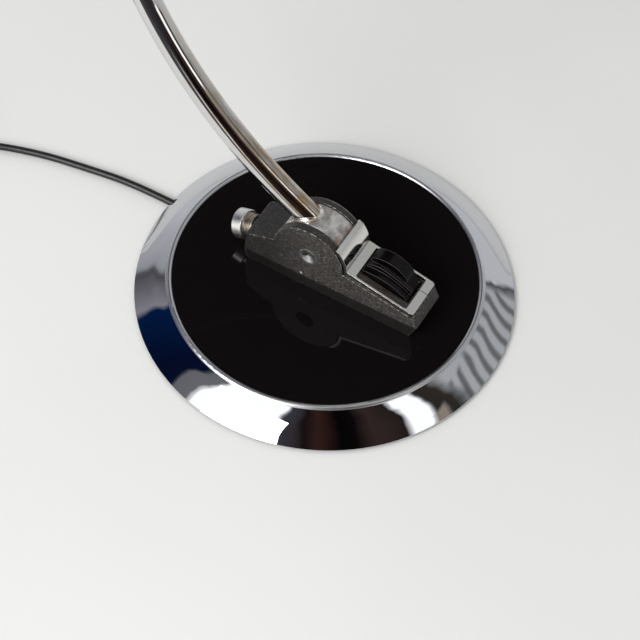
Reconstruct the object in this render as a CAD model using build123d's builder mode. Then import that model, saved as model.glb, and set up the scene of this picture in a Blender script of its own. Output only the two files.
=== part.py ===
from build123d import *
from math import atan2, ceil, cos, degrees, hypot, pi, radians, sin, sqrt, tan
import os

os.makedirs("parts", exist_ok=True)

# Desk lamp: a weighted round foot, a friction hinge with a rocker switch in its nose,
# a C-shaped tube arm and a shallow round shade.
# Millimetres. +Z is up, -Y is the front (the switch end), the table is at Z = 0
# and the foot's axis is the Z axis.

# Foot
base_radius = 112.5
felt_inset = 8.5
felt_radius = base_radius - felt_inset
felt_thick = 1.5
disc_height = 15.4
disc_thick = 1.4
disc_gap = 0.2
ring_opening = 90.4
ring_sheet = 1.3
ring_edge_top = 2.4
ring_shoulder = 15.7
ring_bulge = 0.6
bead_width = 3.2
bead_top = 16.5
bead_lip = 15.6
ballast_gap = 0.25
pocket_radius = 62.0
pocket_top = 8.0
notch_depth = 14.0
channel_overlap = 6.0
ballast_top = disc_height - disc_thick
ring_slope = (ring_shoulder - ring_edge_top) / (base_radius - ring_opening - bead_width)

# Hinge housing
pivot_y = 4.9
pivot_height = 30.9
pivot_z = disc_height + pivot_height
housing_half = 14.0
ear_radius = 22.5
ear_gap_half = 9.0
rear_foot_y = 46.4
rear_waist_y = 48.0
rear_top_y = 46.4
nose_top_y = -64.2
nose_waist_y = -67.6
nose_foot_y = -62.0
waist_rear = 10.2
waist_nose = 13.0
foot_half = 12.2
corner_radius = 1.5
far_ear_bevel = 1.5
brake_tilt = 20.0
brake_block_half = 8.35
cavity_gap = 0.9
neck_seat_radius = 7.3
seat_start = 44.2
nut_seat_radius = 6.0

# Drum and arm
drum_radius = 22.0
drum_half = 8.75
washer_thick = 0.15
washer_radius = 9.0
shank_radius = 3.0
fit_gap = 0.05
tube_radius = 7.5
tube_wall = 1.2
root_angle = 33.8
root_offset = 10.5
root_start = 10.5
root_length = 16.8
arm_radius = 282.0
arm_sweep = 50.2
arm_rise = 130.0
bend_radius = 90.0
bend_sweep = 90.0
arm_reach = 65.0
lead_radius = 2.0
drum_bevel = 0.5
lead_way_radius = 3.0
lead_way_start = 15.0
groove_start = 175.0
groove_sweep = 120.0
groove_depth = 5.5
plug_length = 15.0
knuckle_radius = 8.6
knuckle_collar = 4.0

# Switch bezel and rocker, measured along the bezel from its rear corner
bezel_slope = 12.9
bezel_y = -20.1
bezel_z = disc_height + 33.1
bezel_length = 45.2
bezel_half = 13.4
bezel_rim = 1.8
stack_rear = 4.1
stack_front = 2.4
bezel_shadow = 0.7
bezel_corner = 2.0
flap_inner = 23.4
flap_outer = 25.2
flap_top = 43.7
flap_foot = 0.6
window_start = 5.6
window_end = 39.8
window_half = 12.2
window_corner = 1.4
seam_x = 4.0
seam_width = 0.45
seam_depth = 0.5
switch_start = 4.8
switch_end = 40.8
switch_half = 11.95
switch_step = -9.8
switch_foot_half = 11.2
switch_ledge = -3.2
switch_floor = -17.2
well_start = 5.9
well_end = 38.9
well_near = -6.0
well_far = 10.0
well_floor = -15.6
shelf_floor = -9.2
pocket_gap = 0.25
rocker_gap = 0.6
rocker_pivot_along = 22.5
rocker_pivot_lift = -8.5
rocker_start = 6.6
rocker_end = 37.2
slab_far = 11.75
rocker_crest = 20.5
rocker_top = 1.4
rocker_arc = 36.0
rocker_under = -4.0
rocker_hub = 4.0
web_overlap = 1.0
rocker_pin_radius = 1.5
pad_near = 3.5
pad_start = 7.1
pad_end = 31.3
pad_top = 6.3
rib_near = -1.0
rib_far = 1.0
rib_top = 4.1
rib_crest = 16.0
rib_rear_arc = 12.5
rib_front_arc = 62.0
flap_bevel = 37.0
flap_edge = 24.2
pad_arc = 17.7
pin_grip = 1.0
terminal_spacing = 4.6
terminal_width = 4.8
terminal_thick = 0.8
terminal_length = 5.0

# Brake: distances run back from the pivot along the brake's tilted axis
shoe_gap = 0.35
shoe_half = 6.0
shoe_end = 31.0
channel_gap = 0.2
channel_end = 35.6
screw_radius = 4.0
screw_tip_radius = 3.0
screw_tip_start = 25.0
collar_radius = 5.4
collar_length = 2.0
knob_start = 50.4
knob_length = 7.4
knob_radius = 9.0
knob_bevel = 0.6
neck_start = 47.5
neck_radius = 7.2
thread_depth = 0.3
thread_pitch = 1.5
shoe_start = 18.0
collar_start = 33.4
neck_thread_start = 44.4
neck_thread_radius = 7.0
thread_count = 2

# Head: heights run down from the tilt axis
tongue_length = 24.0
tongue_half = 3.5
tongue_web = 5.0
eye_radius = 8.0
cheek_gap = 0.2
cheek_thick = 4.0
stem_radius = 5.0
stem_bore = 2.6
cap_radius = 24.0
crown_drop = 34.0
crown_flat = 30.0
shade_radius = 130.0
shade_depth = 62.0
shade_band = 12.0
shade_sheet = 0.8
shade_bulge = 12.0
vent_count = 12
vent_circle = 50.0
vent_radius = 2.5
trim_sheet = 1.2
trim_height = 12.5
trim_gap = 0.15
trim_lip = 5.5
diffuser_thick = 2.2
diffuser_gap = 0.4
knurl_count = 3
holder_drop = 66.0
holder_radius = 18.0
holder_length = 40.0
bulb_radius = 22.5
bulb_centre = 36.0
bulb_cap_radius = 12.5
yoke_half = 6.0
yoke_depth = 17.0
yoke_bridge = 5.0
stem_end = 42.5
cap_neck = 9.0
cap_edge = 4.0
knurl_drop = 5.0
knurl_shank = 1.5
knurl_head = 4.0
knurl_length = 5.0
knurl_reach = 4.0
plate_inset = 4.0
bracket_thick = 1.5
bracket_width = 12.0
bracket_knee = 22.0
holder_end = 52.0
holder_floor = 10.0
holder_round = 1.0
bulb_gap = 0.5
bulb_neck = 14.0
bulb_seat = 6.0

# Mains cord
cord_diameter = 4.4
cord_radius = cord_diameter / 2
notch_half = 2.7
notch_top = 4.9
felt_slot_start = 64.0
channel_half = 3.4
coil_x = -13.3
coil_y = 290.0
coil_angle = 220.0
coil_outer = 36.0
coil_half_turns = 9
coil_pitch = 5.1
tie_thick = 1.0
tie_gap = 0.3
tie_width = 6.0
plug_axis = 6.9
exit_x = 7.0
clamp_y = 54.0
clamp_width = 18.0
clamp_length = 8.0
clamp_height = 6.4
clamp_screw_spacing = 12.0
grommet_setback = 2.283
grommet_gap = 0.35
grommet_length = 4.0
cord_z = 4.2
dip_y = 66.0
landing_y = 84.0
straight_y = 139.0
bend_y = 170.0
swing_y = 203.0
cord_start_y = 50.0
cord_last_run = 32.0
floor_gap = 0.05
lead_z = 4.4
wire_radius = 1.2
lead_spacing = 2.8
lead_gap = 0.6
coil_samples = 1500
gap_skip = 4
tie_inner = 10.9
tie_round = 2.0
tail_first = 35.6
tail_second = 36.0
tail_third = 34.0
tail_turn = 45.0
relief_small = 2.9
relief_large = 4.4
relief_length = 14.0
plug_neck = 16.0
plug_width = 35.0
plug_thick = 13.6
plug_taper = 16.0
plug_length_body = 30.0
pin_spacing = 18.6
pin_radius = 2.0
pin_depth = 8.0
pin_length = 19.0

# Fasteners
base_screw_radius = 2.45
base_screw_head = 4.6
base_screw_head_thick = 3.4
base_screw_grip = 10.0
rear_screw_y = 33.0
front_screw_y = -17.0
lead_hole_radius = 5.0
lead_hole_y = -38.0
clamp_screw_radius = 1.2
clamp_screw_head = 2.2
clamp_head_top = 3.8
clamp_screw_top = 12.0
head_radius = 6.0
dish_radius = 4.9
dish_foot = 1.2
dish_depth = 1.5
slot_turn = 20.0
slot_width = 1.4
slot_depth = 1.0
screw_recess = 0.4
nut_radius = 5.7
nut_thick = 2.6
tilt_screw_radius = 2.5
tilt_head_radius = 5.0
tilt_head_thick = 3.0
tilt_nut_thick = 6.0
holder_screw_radius = 1.6
stem_nut_radius = 8.0
stem_nut_thick = 4.0


# Helpers
def save(builder, name):
    """Labels a finished piece and writes it as its own STEP file."""
    builder.part.label = name
    export_step(builder.part, f"parts/{name}.step")


def cone_radius(height, depth=0.0):
    """Radius of the ring's sloped face at a height above the table, a depth below that face."""
    run = (height - ring_edge_top) / ring_slope
    return base_radius - run - depth * sqrt(1 + 1 / ring_slope**2)


def rod(plane, radius, start, end, mode=Mode.ADD):
    """Cylinder along a plane's normal, between two distances from the plane."""
    with Locations(plane.offset(start).location):
        Cylinder(radius, end - start, align=(Align.CENTER, Align.CENTER, Align.MIN), mode=mode)


def post(x, y, radius, bottom, top, mode=Mode.ADD):
    """Upright cylinder at a place on the table, between two heights."""
    rod(Plane(origin=(x, y, 0)), radius, bottom, top, mode)


def block(plane, size_x, size_y, start, end, mode=Mode.ADD):
    """Rectangular bar centred on a plane's normal, between two distances from the plane."""
    with Locations(plane.offset(start).location):
        Box(size_x, size_y, end - start, align=(Align.CENTER, Align.CENTER, Align.MIN), mode=mode)


def polar(radius, angle):
    """Point at a radius and an angle in degrees, in a sketch about the pivot."""
    return (radius * cos(radians(angle)), radius * sin(radians(angle)))


def arc_lift(along_bezel, top, arc, crest):
    """Height of an arc over the bezel, at a distance along it from the arc's crest."""
    return top - arc + sqrt(arc**2 - (along_bezel - crest) ** 2)


def corner_radii(points):
    """Radius at each corner of a cord's route: 0.45 of the shorter run over the tangent of half the turn."""
    radii = []
    for before, here, after in zip(points, points[1:], points[2:]):
        arriving = Vector(*here) - Vector(*before)
        leaving = Vector(*after) - Vector(*here)
        half_turn = radians(arriving.get_angle(leaving)) / 2
        radii.append(0.45 * min(arriving.length, leaving.length) / tan(half_turn))
    return radii


def cord_tube(points, radius, name):
    """Round tube along straight runs joined by tangent arcs; prints its radii and its volume check."""
    radii = corner_radii(points)
    with BuildPart() as tube:
        with BuildLine() as route:
            FilletPolyline(*points, radius=radii)
        with BuildSketch(Plane(origin=route.line @ 0, z_dir=route.line % 0)):
            Circle(radius)
        sweep(path=route.line)
    length = route.wire().length
    share = tube.part.volume / (pi * radius**2 * length)
    print(name, "radii", [round(r) for r in radii], "length", round(length, 1), "volume", round(share, 4))
    save(tube, name)
    return length


# Planes of the bezel, the housing's seat under it, the rocker, the pivot, the brake and the arm's root
slope = radians(bezel_slope)
tilt = radians(brake_tilt)
root = radians(root_angle)
bezel_plane = Plane(
    origin=(0, bezel_y, bezel_z),
    x_dir=(0, -cos(slope), -sin(slope)),
    z_dir=(0, -sin(slope), cos(slope)),
)
rocker_plane = Plane(origin=(0, bezel_y, bezel_z), x_dir=(0, -cos(slope), -sin(slope)), z_dir=(-1, 0, 0))
pivot_plane = Plane(origin=(0, pivot_y, pivot_z), x_dir=(0, 1, 0), z_dir=(1, 0, 0))
brake_plane = Plane(origin=(0, pivot_y, pivot_z), x_dir=(1, 0, 0), z_dir=(0, cos(tilt), -sin(tilt)))
cord_plane = Plane(origin=(exit_x, 0, cord_z), x_dir=(1, 0, 0), z_dir=(0, 1, 0))
rocker_axis = Plane(
    origin=bezel_plane.from_local_coords((rocker_pivot_along, 0, rocker_pivot_lift)),
    x_dir=bezel_plane.x_dir,
    z_dir=(-1, 0, 0),
)
root_plane = Plane(
    origin=(0, pivot_y - root_offset * sin(root), pivot_z + root_offset * cos(root)),
    x_dir=(1, 0, 0),
    z_dir=(0, cos(root), sin(root)),
)
seat_rear = bezel_plane.from_local_coords((0, 0, -stack_rear))
seat_front = bezel_plane.from_local_coords((bezel_length, 0, -stack_front))
seat_run = seat_rear - seat_front
seat_plane = Plane(origin=seat_front, x_dir=(1, 0, 0), z_dir=(0, -seat_run.Z, seat_run.Y))


def housing_top(y):
    """Height of the housing's sloped top face, under the bezel."""
    return seat_front.Z + (y - seat_front.Y) * seat_run.Z / seat_run.Y


def block_top(y):
    """Height of the rear block's top face, parallel to the brake's axis."""
    return pivot_z + brake_block_half / cos(tilt) - (y - pivot_y) * tan(tilt)


# Foot
with BuildPart() as base_ring:
    shoulder = (ring_opening + bead_width, ring_shoulder)
    edge = (base_radius, ring_edge_top)
    face_run = edge[0] - shoulder[0]
    face_drop = shoulder[1] - edge[1]
    face_length = hypot(face_run, face_drop)
    crown = (
        (edge[0] + shoulder[0]) / 2 + ring_bulge * face_drop / face_length,
        (edge[1] + shoulder[1]) / 2 + ring_bulge * face_run / face_length,
    )
    with BuildSketch(Plane.XZ):
        with BuildLine():
            Line((base_radius, felt_thick), edge)
            ThreePointArc(edge, crown, shoulder)
            ThreePointArc(shoulder, (ring_opening + bead_width / 2, bead_top), (ring_opening, bead_lip))
            Polyline(
                (ring_opening, bead_lip),
                (ring_opening, ballast_top),
                (cone_radius(ballast_top, ring_sheet), ballast_top),
                (cone_radius(felt_thick, ring_sheet), felt_thick),
                (base_radius, felt_thick),
            )
        make_face()
    revolve(axis=Axis.Z)
    # Notch where the cord leaves
    with Locations((exit_x, base_radius, felt_thick)):
        Box(
            2 * notch_half,
            2 * notch_depth,
            notch_top - felt_thick,
            align=(Align.CENTER, Align.CENTER, Align.MIN),
            mode=Mode.SUBTRACT,
        )
save(base_ring, "base_ring")

with BuildPart() as ballast:
    with BuildSketch(Plane.XZ):
        with BuildLine():
            Polyline(
                (0, pocket_top),
                (pocket_radius, pocket_top),
                (pocket_radius, felt_thick),
                (cone_radius(felt_thick, ring_sheet + ballast_gap), felt_thick),
                (cone_radius(ballast_top, ring_sheet + ballast_gap), ballast_top),
                (0, ballast_top),
                close=True,
            )
        make_face()
    revolve(axis=Axis.Z)
    # Channel for the cord, from the pocket to the rear edge
    with Locations((exit_x, pocket_radius - channel_overlap, felt_thick)):
        Box(
            2 * channel_half,
            base_radius,
            pocket_top - felt_thick,
            align=(Align.CENTER, Align.MIN, Align.MIN),
            mode=Mode.SUBTRACT,
        )
    for y in (rear_screw_y, front_screw_y):
        post(0, y, base_screw_radius + fit_gap, pocket_top, ballast_top, Mode.SUBTRACT)
    for y in (pivot_y, lead_hole_y):
        post(0, y, lead_hole_radius, pocket_top, ballast_top, Mode.SUBTRACT)
    for side in (-1, 1):
        x = exit_x + side * clamp_screw_spacing / 2
        post(x, clamp_y, clamp_screw_radius + fit_gap, pocket_top, clamp_screw_top + fit_gap, Mode.SUBTRACT)
save(ballast, "ballast")

with BuildPart() as base_disc:
    post(0, 0, ring_opening - disc_gap, ballast_top, disc_height)
    for y in (rear_screw_y, front_screw_y):
        post(0, y, base_screw_radius + fit_gap, ballast_top, disc_height, Mode.SUBTRACT)
    for y in (pivot_y, lead_hole_y):
        post(0, y, lead_hole_radius, ballast_top, disc_height, Mode.SUBTRACT)
save(base_disc, "base_disc")

with BuildPart() as felt_pad:
    post(0, 0, felt_radius, 0, felt_thick)
    # Slot that the cord lies in
    with Locations((exit_x, felt_slot_start, 0)):
        Box(
            2 * channel_half,
            felt_radius,
            felt_thick,
            align=(Align.CENTER, Align.MIN, Align.MIN),
            mode=Mode.SUBTRACT,
        )
save(felt_pad, "felt_pad")

with BuildPart() as housing_screws:
    for y in (rear_screw_y, front_screw_y):
        post(0, y, base_screw_radius, pocket_top, disc_height + base_screw_grip)
        post(0, y, base_screw_head, pocket_top - base_screw_head_thick, pocket_top)
save(housing_screws, "housing_screws")

# Hinge housing: one casting with two ears, the brake block and the switch's nose
with BuildPart() as hinge_housing:
    with BuildSketch(Plane.YZ):
        with BuildLine():
            Polyline(
                (rear_foot_y, disc_height),
                (rear_waist_y, disc_height + waist_rear),
                (rear_top_y, block_top(rear_top_y)),
                (pivot_y, block_top(pivot_y)),
                (pivot_y, housing_top(pivot_y)),
                (nose_top_y, housing_top(nose_top_y)),
                (nose_waist_y, disc_height + waist_nose),
                (nose_foot_y, disc_height),
                close=True,
            )
        make_face()
        with Locations((pivot_y, pivot_z)):
            Circle(ear_radius)
    extrude(amount=housing_half, both=True)
    # Upright corners of the two ends
    nose_middle = (nose_top_y + nose_foot_y) / 2
    end_faces = hinge_housing.faces().filter_by(
        lambda f: abs(f.center().X) < fit_gap and (f.center().Y > rear_foot_y or f.center().Y < nose_middle)
    )
    corners = end_faces.edges().filter_by(lambda e: abs(abs(e.center().X) - housing_half) < fit_gap)
    fillet(corners, corner_radius)
    # The sides lean in below the waist
    waist_rise = atan2(waist_nose - waist_rear, rear_waist_y - nose_waist_y)
    lean = (housing_half - foot_half) / waist_rear
    waist_plane = Plane(
        origin=(0, rear_waist_y, disc_height + waist_rear),
        x_dir=(1, 0, 0),
        z_dir=(0, -cos(waist_rise), sin(waist_rise)),
    )
    for side in (-1, 1):
        with BuildSketch(waist_plane.offset(-corner_radius)):
            with BuildLine():
                Polyline(
                    (side * housing_half, 0),
                    (side * 2 * housing_half, 0),
                    (side * 2 * housing_half, -2 * waist_nose),
                    (side * (housing_half - 2 * waist_nose * lean), -2 * waist_nose),
                    close=True,
                )
            make_face()
        extrude(amount=rear_waist_y - nose_waist_y + 2 * corner_radius, mode=Mode.SUBTRACT)
    far_rim = hinge_housing.edges().filter_by(GeomType.CIRCLE).filter_by(
        lambda e: abs(e.radius - ear_radius) < fit_gap and e.center().X > ear_gap_half
    )
    chamfer(far_rim, far_ear_bevel)
    # Slot for the drum
    rod(pivot_plane, drum_radius + cavity_gap, -ear_gap_half, ear_gap_half, Mode.SUBTRACT)
    slot_top = Plane(origin=(0, pivot_y, pivot_z))
    block(slot_top, 2 * ear_gap_half, 2 * drum_radius, 0, ear_radius, Mode.SUBTRACT)
    # Channel for the brake shoe, bore for its screw and a flat round the bore's mouth
    channel = 2 * (shoe_half + channel_gap)
    block(brake_plane, channel, channel, drum_radius - channel_gap, channel_end, Mode.SUBTRACT)
    rod(brake_plane, screw_radius + fit_gap, channel_end, knob_start, Mode.SUBTRACT)
    rod(brake_plane, neck_seat_radius, seat_start, knob_start, Mode.SUBTRACT)
    # Pocket for the switch, open under the bezel
    with Locations(bezel_plane.location):
        with Locations(((switch_start + switch_end) / 2, 0, 0)):
            for half, floor in ((switch_half, switch_step), (switch_foot_half, switch_floor)):
                Box(
                    switch_end - switch_start + 2 * pocket_gap,
                    2 * (half + pocket_gap),
                    pocket_gap - floor,
                    align=(Align.CENTER, Align.CENTER, Align.MAX),
                    mode=Mode.SUBTRACT,
                )
    # Pivot hole, countersunk in the near ear, with a seat for the nut in the far one
    rod(pivot_plane, shank_radius + fit_gap, -housing_half, housing_half, Mode.SUBTRACT)
    with Locations(pivot_plane.offset(-housing_half).location):
        Cone(
            head_radius,
            shank_radius,
            head_radius - shank_radius,
            align=(Align.CENTER, Align.CENTER, Align.MIN),
            mode=Mode.SUBTRACT,
        )
    rod(pivot_plane, nut_seat_radius, housing_half - nut_thick, housing_half, Mode.SUBTRACT)
    # Threads for the two screws from below, and ways for the leads
    for y in (rear_screw_y, front_screw_y):
        post(0, y, base_screw_radius + fit_gap, disc_height, disc_height + base_screw_grip, Mode.SUBTRACT)
    for y in (pivot_y, lead_hole_y):
        post(0, y, lead_hole_radius, disc_height, disc_height + waist_nose, Mode.SUBTRACT)
save(hinge_housing, "hinge_housing")

# Pivot of the arm
with BuildPart() as pivot_screw:
    rod(pivot_plane, shank_radius, -housing_half, housing_half - screw_recess)
    with Locations(pivot_plane.offset(-housing_half).location):
        Cone(
            head_radius,
            shank_radius,
            head_radius - shank_radius,
            align=(Align.CENTER, Align.CENTER, Align.MIN),
        )
        Cone(
            dish_radius,
            dish_foot,
            dish_depth,
            align=(Align.CENTER, Align.CENTER, Align.MIN),
            mode=Mode.SUBTRACT,
        )
        with Locations(Location((0, 0, dish_depth), (0, 0, -slot_turn))):
            Box(2 * dish_radius, slot_width, 2 * slot_depth, mode=Mode.SUBTRACT)
save(pivot_screw, "pivot_screw")

with BuildPart() as pivot_nut:
    with BuildSketch(pivot_plane.offset(housing_half - nut_thick)):
        RegularPolygon(nut_radius, 6)
    extrude(amount=nut_thick - screw_recess)
    rod(pivot_plane, shank_radius + fit_gap, 0, housing_half, Mode.SUBTRACT)
save(pivot_nut, "pivot_nut")

with BuildPart() as friction_washers:
    for side in (-1, 1):
        middle = side * (ear_gap_half + drum_half) / 2
        rod(pivot_plane, washer_radius, middle - washer_thick / 2, middle + washer_thick / 2)
    rod(pivot_plane, shank_radius + fit_gap, -housing_half, housing_half, Mode.SUBTRACT)
save(friction_washers, "friction_washers")

# Switch bezel, with the flap that curves over the ears
with BuildPart() as switch_bezel:
    pocket_start = switch_start - pocket_gap
    pocket_end = switch_end + pocket_gap
    # The rim, and the skirt under it that stands on the housing round the switch
    for start, thick, inset, near_end, far_end, corner in (
        (-bezel_rim, bezel_rim, 0.0, window_start, window_end, window_corner),
        (-stack_rear, stack_rear - bezel_rim, bezel_shadow, pocket_start, pocket_end, window_corner / 2),
    ):
        with BuildSketch(bezel_plane.offset(start)):
            with Locations((bezel_length / 2, 0)):
                RectangleRounded(
                    bezel_length - 2 * inset, 2 * (bezel_half - inset), bezel_corner - inset
                )
            with Locations((bezel_corner, 0)):
                Rectangle(2 * (bezel_corner - inset), 2 * (bezel_half - inset))
            with Locations(((near_end + far_end) / 2, 0)):
                RectangleRounded(far_end - near_end, 2 * window_half, corner, mode=Mode.SUBTRACT)
        extrude(amount=thick)
    split(bisect_by=seat_plane, keep=Keep.TOP)
    # Flap: an arc about the pivot, thinned along its upper edge
    with BuildSketch(pivot_plane.offset(-bezel_half)):
        with BuildLine():
            foot_angle = 180 - flap_foot
            bevel_angle = 180 - flap_bevel
            top_angle = 180 - flap_top
            CenterArc((0, 0), flap_outer, bevel_angle, foot_angle - bevel_angle)
            CenterArc((0, 0), flap_inner, top_angle, foot_angle - top_angle)
            Line(polar(flap_outer, foot_angle), polar(flap_inner, foot_angle))
            Line(polar(flap_outer, bevel_angle), polar(flap_edge, top_angle))
            Line(polar(flap_edge, top_angle), polar(flap_inner, top_angle))
        make_face()
    extrude(amount=2 * bezel_half)
    # Moulded seam across the front bar
    with Locations(bezel_plane.location):
        with Locations(((window_end + bezel_length) / 2, seam_x, 0)):
            Box(bezel_length - window_end + seam_width, seam_width, 2 * seam_depth, mode=Mode.SUBTRACT)
save(switch_bezel, "switch_bezel")

# Rocker switch
with BuildPart() as switch_body:
    with Locations(bezel_plane.offset(switch_ledge).location):
        with Locations(((switch_start + switch_end) / 2, 0, 0)):
            for half, floor in ((switch_half, switch_step), (switch_foot_half, switch_floor)):
                Box(
                    switch_end - switch_start,
                    2 * half,
                    switch_ledge - floor,
                    align=(Align.CENTER, Align.CENTER, Align.MAX),
                )
        with Locations(((well_start + well_end) / 2, well_near, 0)):
            Box(
                well_end - well_start,
                2 * switch_half,
                switch_ledge - shelf_floor,
                align=(Align.CENTER, Align.MIN, Align.MAX),
                mode=Mode.SUBTRACT,
            )
        with Locations(((well_start + well_end) / 2, (well_near + well_far) / 2, 0)):
            Box(
                well_end - well_start,
                well_far - well_near,
                switch_ledge - well_floor,
                align=(Align.CENTER, Align.CENTER, Align.MAX),
                mode=Mode.SUBTRACT,
            )
    rod(rocker_axis, rocker_pin_radius + fit_gap, -well_far - pin_grip, -well_near + pin_grip, Mode.SUBTRACT)
save(switch_body, "switch_body")

with BuildPart() as rocker_pin:
    rod(rocker_axis, rocker_pin_radius, -well_far - pin_grip, -well_near + pin_grip)
save(rocker_pin, "rocker_pin")

with BuildPart() as rocker:
    rocker_near = well_near + rocker_gap
    rocker_far = well_far - rocker_gap
    pad_crest = (pad_start + pad_end) / 2
    for near, far, start, end, top, arc, crest in (
        (rocker_near, slab_far, rocker_start, rocker_end, rocker_top, rocker_arc, rocker_crest),
        (pad_near, slab_far, pad_start, pad_end, pad_top, pad_arc, pad_crest),
        (rib_near, rib_far, pad_start, rib_crest, rib_top, rib_rear_arc, rib_crest),
        (rib_near, rib_far, rib_crest, rocker_end, rib_top, rib_front_arc, rib_crest),
    ):
        with BuildSketch(rocker_plane.offset(-far)):
            with BuildLine():
                Polyline(
                    (start, arc_lift(start, top, arc, crest)),
                    (start, rocker_under),
                    (end, rocker_under),
                    (end, arc_lift(end, top, arc, crest)),
                )
                ThreePointArc(
                    (start, arc_lift(start, top, arc, crest)),
                    ((start + end) / 2, arc_lift((start + end) / 2, top, arc, crest)),
                    (end, arc_lift(end, top, arc, crest)),
                )
            make_face()
        extrude(amount=far - near)
    # Hub and the web that carries it
    rod(rocker_axis, rocker_hub, -rocker_far, -rocker_near)
    with Locations(rocker_axis.offset(-rocker_far).location):
        Box(
            2 * rocker_hub,
            rocker_under - rocker_pivot_lift + web_overlap,
            rocker_far - rocker_near,
            align=(Align.CENTER, Align.MIN, Align.MIN),
        )
    rod(rocker_axis, rocker_pin_radius + fit_gap, -well_far, -well_near, Mode.SUBTRACT)
save(rocker, "rocker")

with BuildPart() as switch_terminals:
    with Locations(bezel_plane.offset(switch_floor).location):
        for x in (-terminal_spacing / 2, terminal_spacing / 2):
            with Locations((rocker_pivot_along, x, 0)):
                Box(
                    terminal_width,
                    terminal_thick,
                    terminal_length,
                    align=(Align.CENTER, Align.CENTER, Align.MAX),
                )
save(switch_terminals, "switch_terminals")

# Friction brake: a shoe drawn along its channel by a screw that turns in place
with BuildPart() as brake_shoe:
    block(brake_plane, 2 * shoe_half, 2 * shoe_half, shoe_start, shoe_end)
    rod(pivot_plane, drum_radius + shoe_gap, -shoe_half, shoe_half, Mode.SUBTRACT)
    rod(brake_plane, screw_tip_radius + fit_gap, shoe_start, shoe_end, Mode.SUBTRACT)
save(brake_shoe, "brake_shoe")

with BuildPart() as brake_screw:
    rod(brake_plane, screw_tip_radius, screw_tip_start, collar_start)
    rod(brake_plane, collar_radius, collar_start, collar_start + collar_length)
    rod(brake_plane, screw_radius, collar_start, neck_thread_start)
    rod(brake_plane, neck_thread_radius, neck_thread_start, neck_start)
    for turn in range(thread_count):
        groove = neck_thread_start + (turn + 0.5) * thread_pitch
        with Locations(brake_plane.offset(groove).location):
            Torus(neck_thread_radius, thread_depth, mode=Mode.SUBTRACT)
    rod(brake_plane, screw_tip_radius, neck_start, knob_start + knob_length / 2)
save(brake_screw, "brake_screw")

with BuildPart() as brake_knob:
    rod(brake_plane, neck_radius, neck_start, knob_start)
    rod(brake_plane, knob_radius, knob_start, knob_start + knob_length)
    chamfer(brake_knob.edges().filter_by(GeomType.CIRCLE).group_by(SortBy.RADIUS)[-1], knob_bevel)
    rod(brake_plane, screw_tip_radius, neck_start, knob_start + knob_length / 2, Mode.SUBTRACT)
save(brake_knob, "brake_knob")

# Arm
with BuildPart() as arm_drum:
    rod(pivot_plane, drum_radius, -drum_half, drum_half)
    chamfer(arm_drum.edges().filter_by(GeomType.CIRCLE), drum_bevel)
    rod(pivot_plane, shank_radius + fit_gap, -drum_half, drum_half, Mode.SUBTRACT)
    rod(root_plane, tube_radius + fit_gap, root_start, drum_radius * 2, Mode.SUBTRACT)
    # Way for the lead out of the drum, and the groove that it runs in as the arm tilts
    rod(root_plane, lead_way_radius, -drum_radius, root_start, Mode.SUBTRACT)
    with BuildSketch(pivot_plane.offset(-lead_way_radius)):
        with BuildLine():
            CenterArc((0, 0), drum_radius + cavity_gap, groove_start, groove_sweep)
            CenterArc((0, 0), drum_radius - groove_depth, groove_start, groove_sweep)
            for angle in (groove_start, groove_start + groove_sweep):
                Line(polar(drum_radius - groove_depth, angle), polar(drum_radius + cavity_gap, angle))
        make_face()
    extrude(amount=2 * lead_way_radius, mode=Mode.SUBTRACT)
save(arm_drum, "arm_drum")

root_point = root_plane.origin + root_plane.z_dir * root_start
riser_angle = root_angle + arm_sweep
reach_angle = riser_angle + bend_sweep
with BuildPart() as arm_tube:
    with BuildLine(Plane.YZ) as arm_path:
        root_run = PolarLine((root_point.Y, root_point.Z), root_length, root_angle)
        lower_bend = JernArc(root_run @ 1, root_run % 1, arm_radius, arm_sweep)
        riser = PolarLine(lower_bend @ 1, arm_rise, riser_angle)
        upper_bend = JernArc(riser @ 1, riser % 1, bend_radius, bend_sweep)
        PolarLine(upper_bend @ 1, arm_reach, reach_angle)
    with BuildSketch(Plane(origin=arm_path.line @ 0, z_dir=arm_path.line % 0)):
        Circle(tube_radius)
        Circle(tube_radius - tube_wall, mode=Mode.SUBTRACT)
    sweep(path=arm_path.line)
save(arm_tube, "arm_tube")

tip = arm_path.line @ 1
tip_plane = Plane(origin=tip, x_dir=(1, 0, 0), z_dir=arm_path.line % 1)
head_point = tip + (arm_path.line % 1) * tongue_length
head_y = head_point.Y
head_z = head_point.Z
tilt_plane = Plane(origin=head_point, x_dir=(0, 1, 0), z_dir=(1, 0, 0))
head_plane = Plane(origin=head_point, x_dir=(1, 0, 0), z_dir=(0, -1, 0))
head_axis = Axis(head_point, (0, 0, 1))
print("arm tip", tip, "head tilt axis", head_point)

with BuildPart() as arm_knuckle:
    rod(tip_plane, tube_radius - tube_wall - fit_gap, -plug_length, 0)
    rod(tip_plane, knuckle_radius, 0, knuckle_collar)
    block(tip_plane, 2 * tongue_half, 2 * tongue_web, knuckle_collar, tongue_length)
    rod(tilt_plane, eye_radius, -tongue_half, tongue_half)
    rod(tilt_plane, tilt_screw_radius + fit_gap, -tongue_half, tongue_half, Mode.SUBTRACT)
    rod(tip_plane, lead_radius + fit_gap, -plug_length, -plug_length / 2, Mode.SUBTRACT)
save(arm_knuckle, "arm_knuckle")

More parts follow.
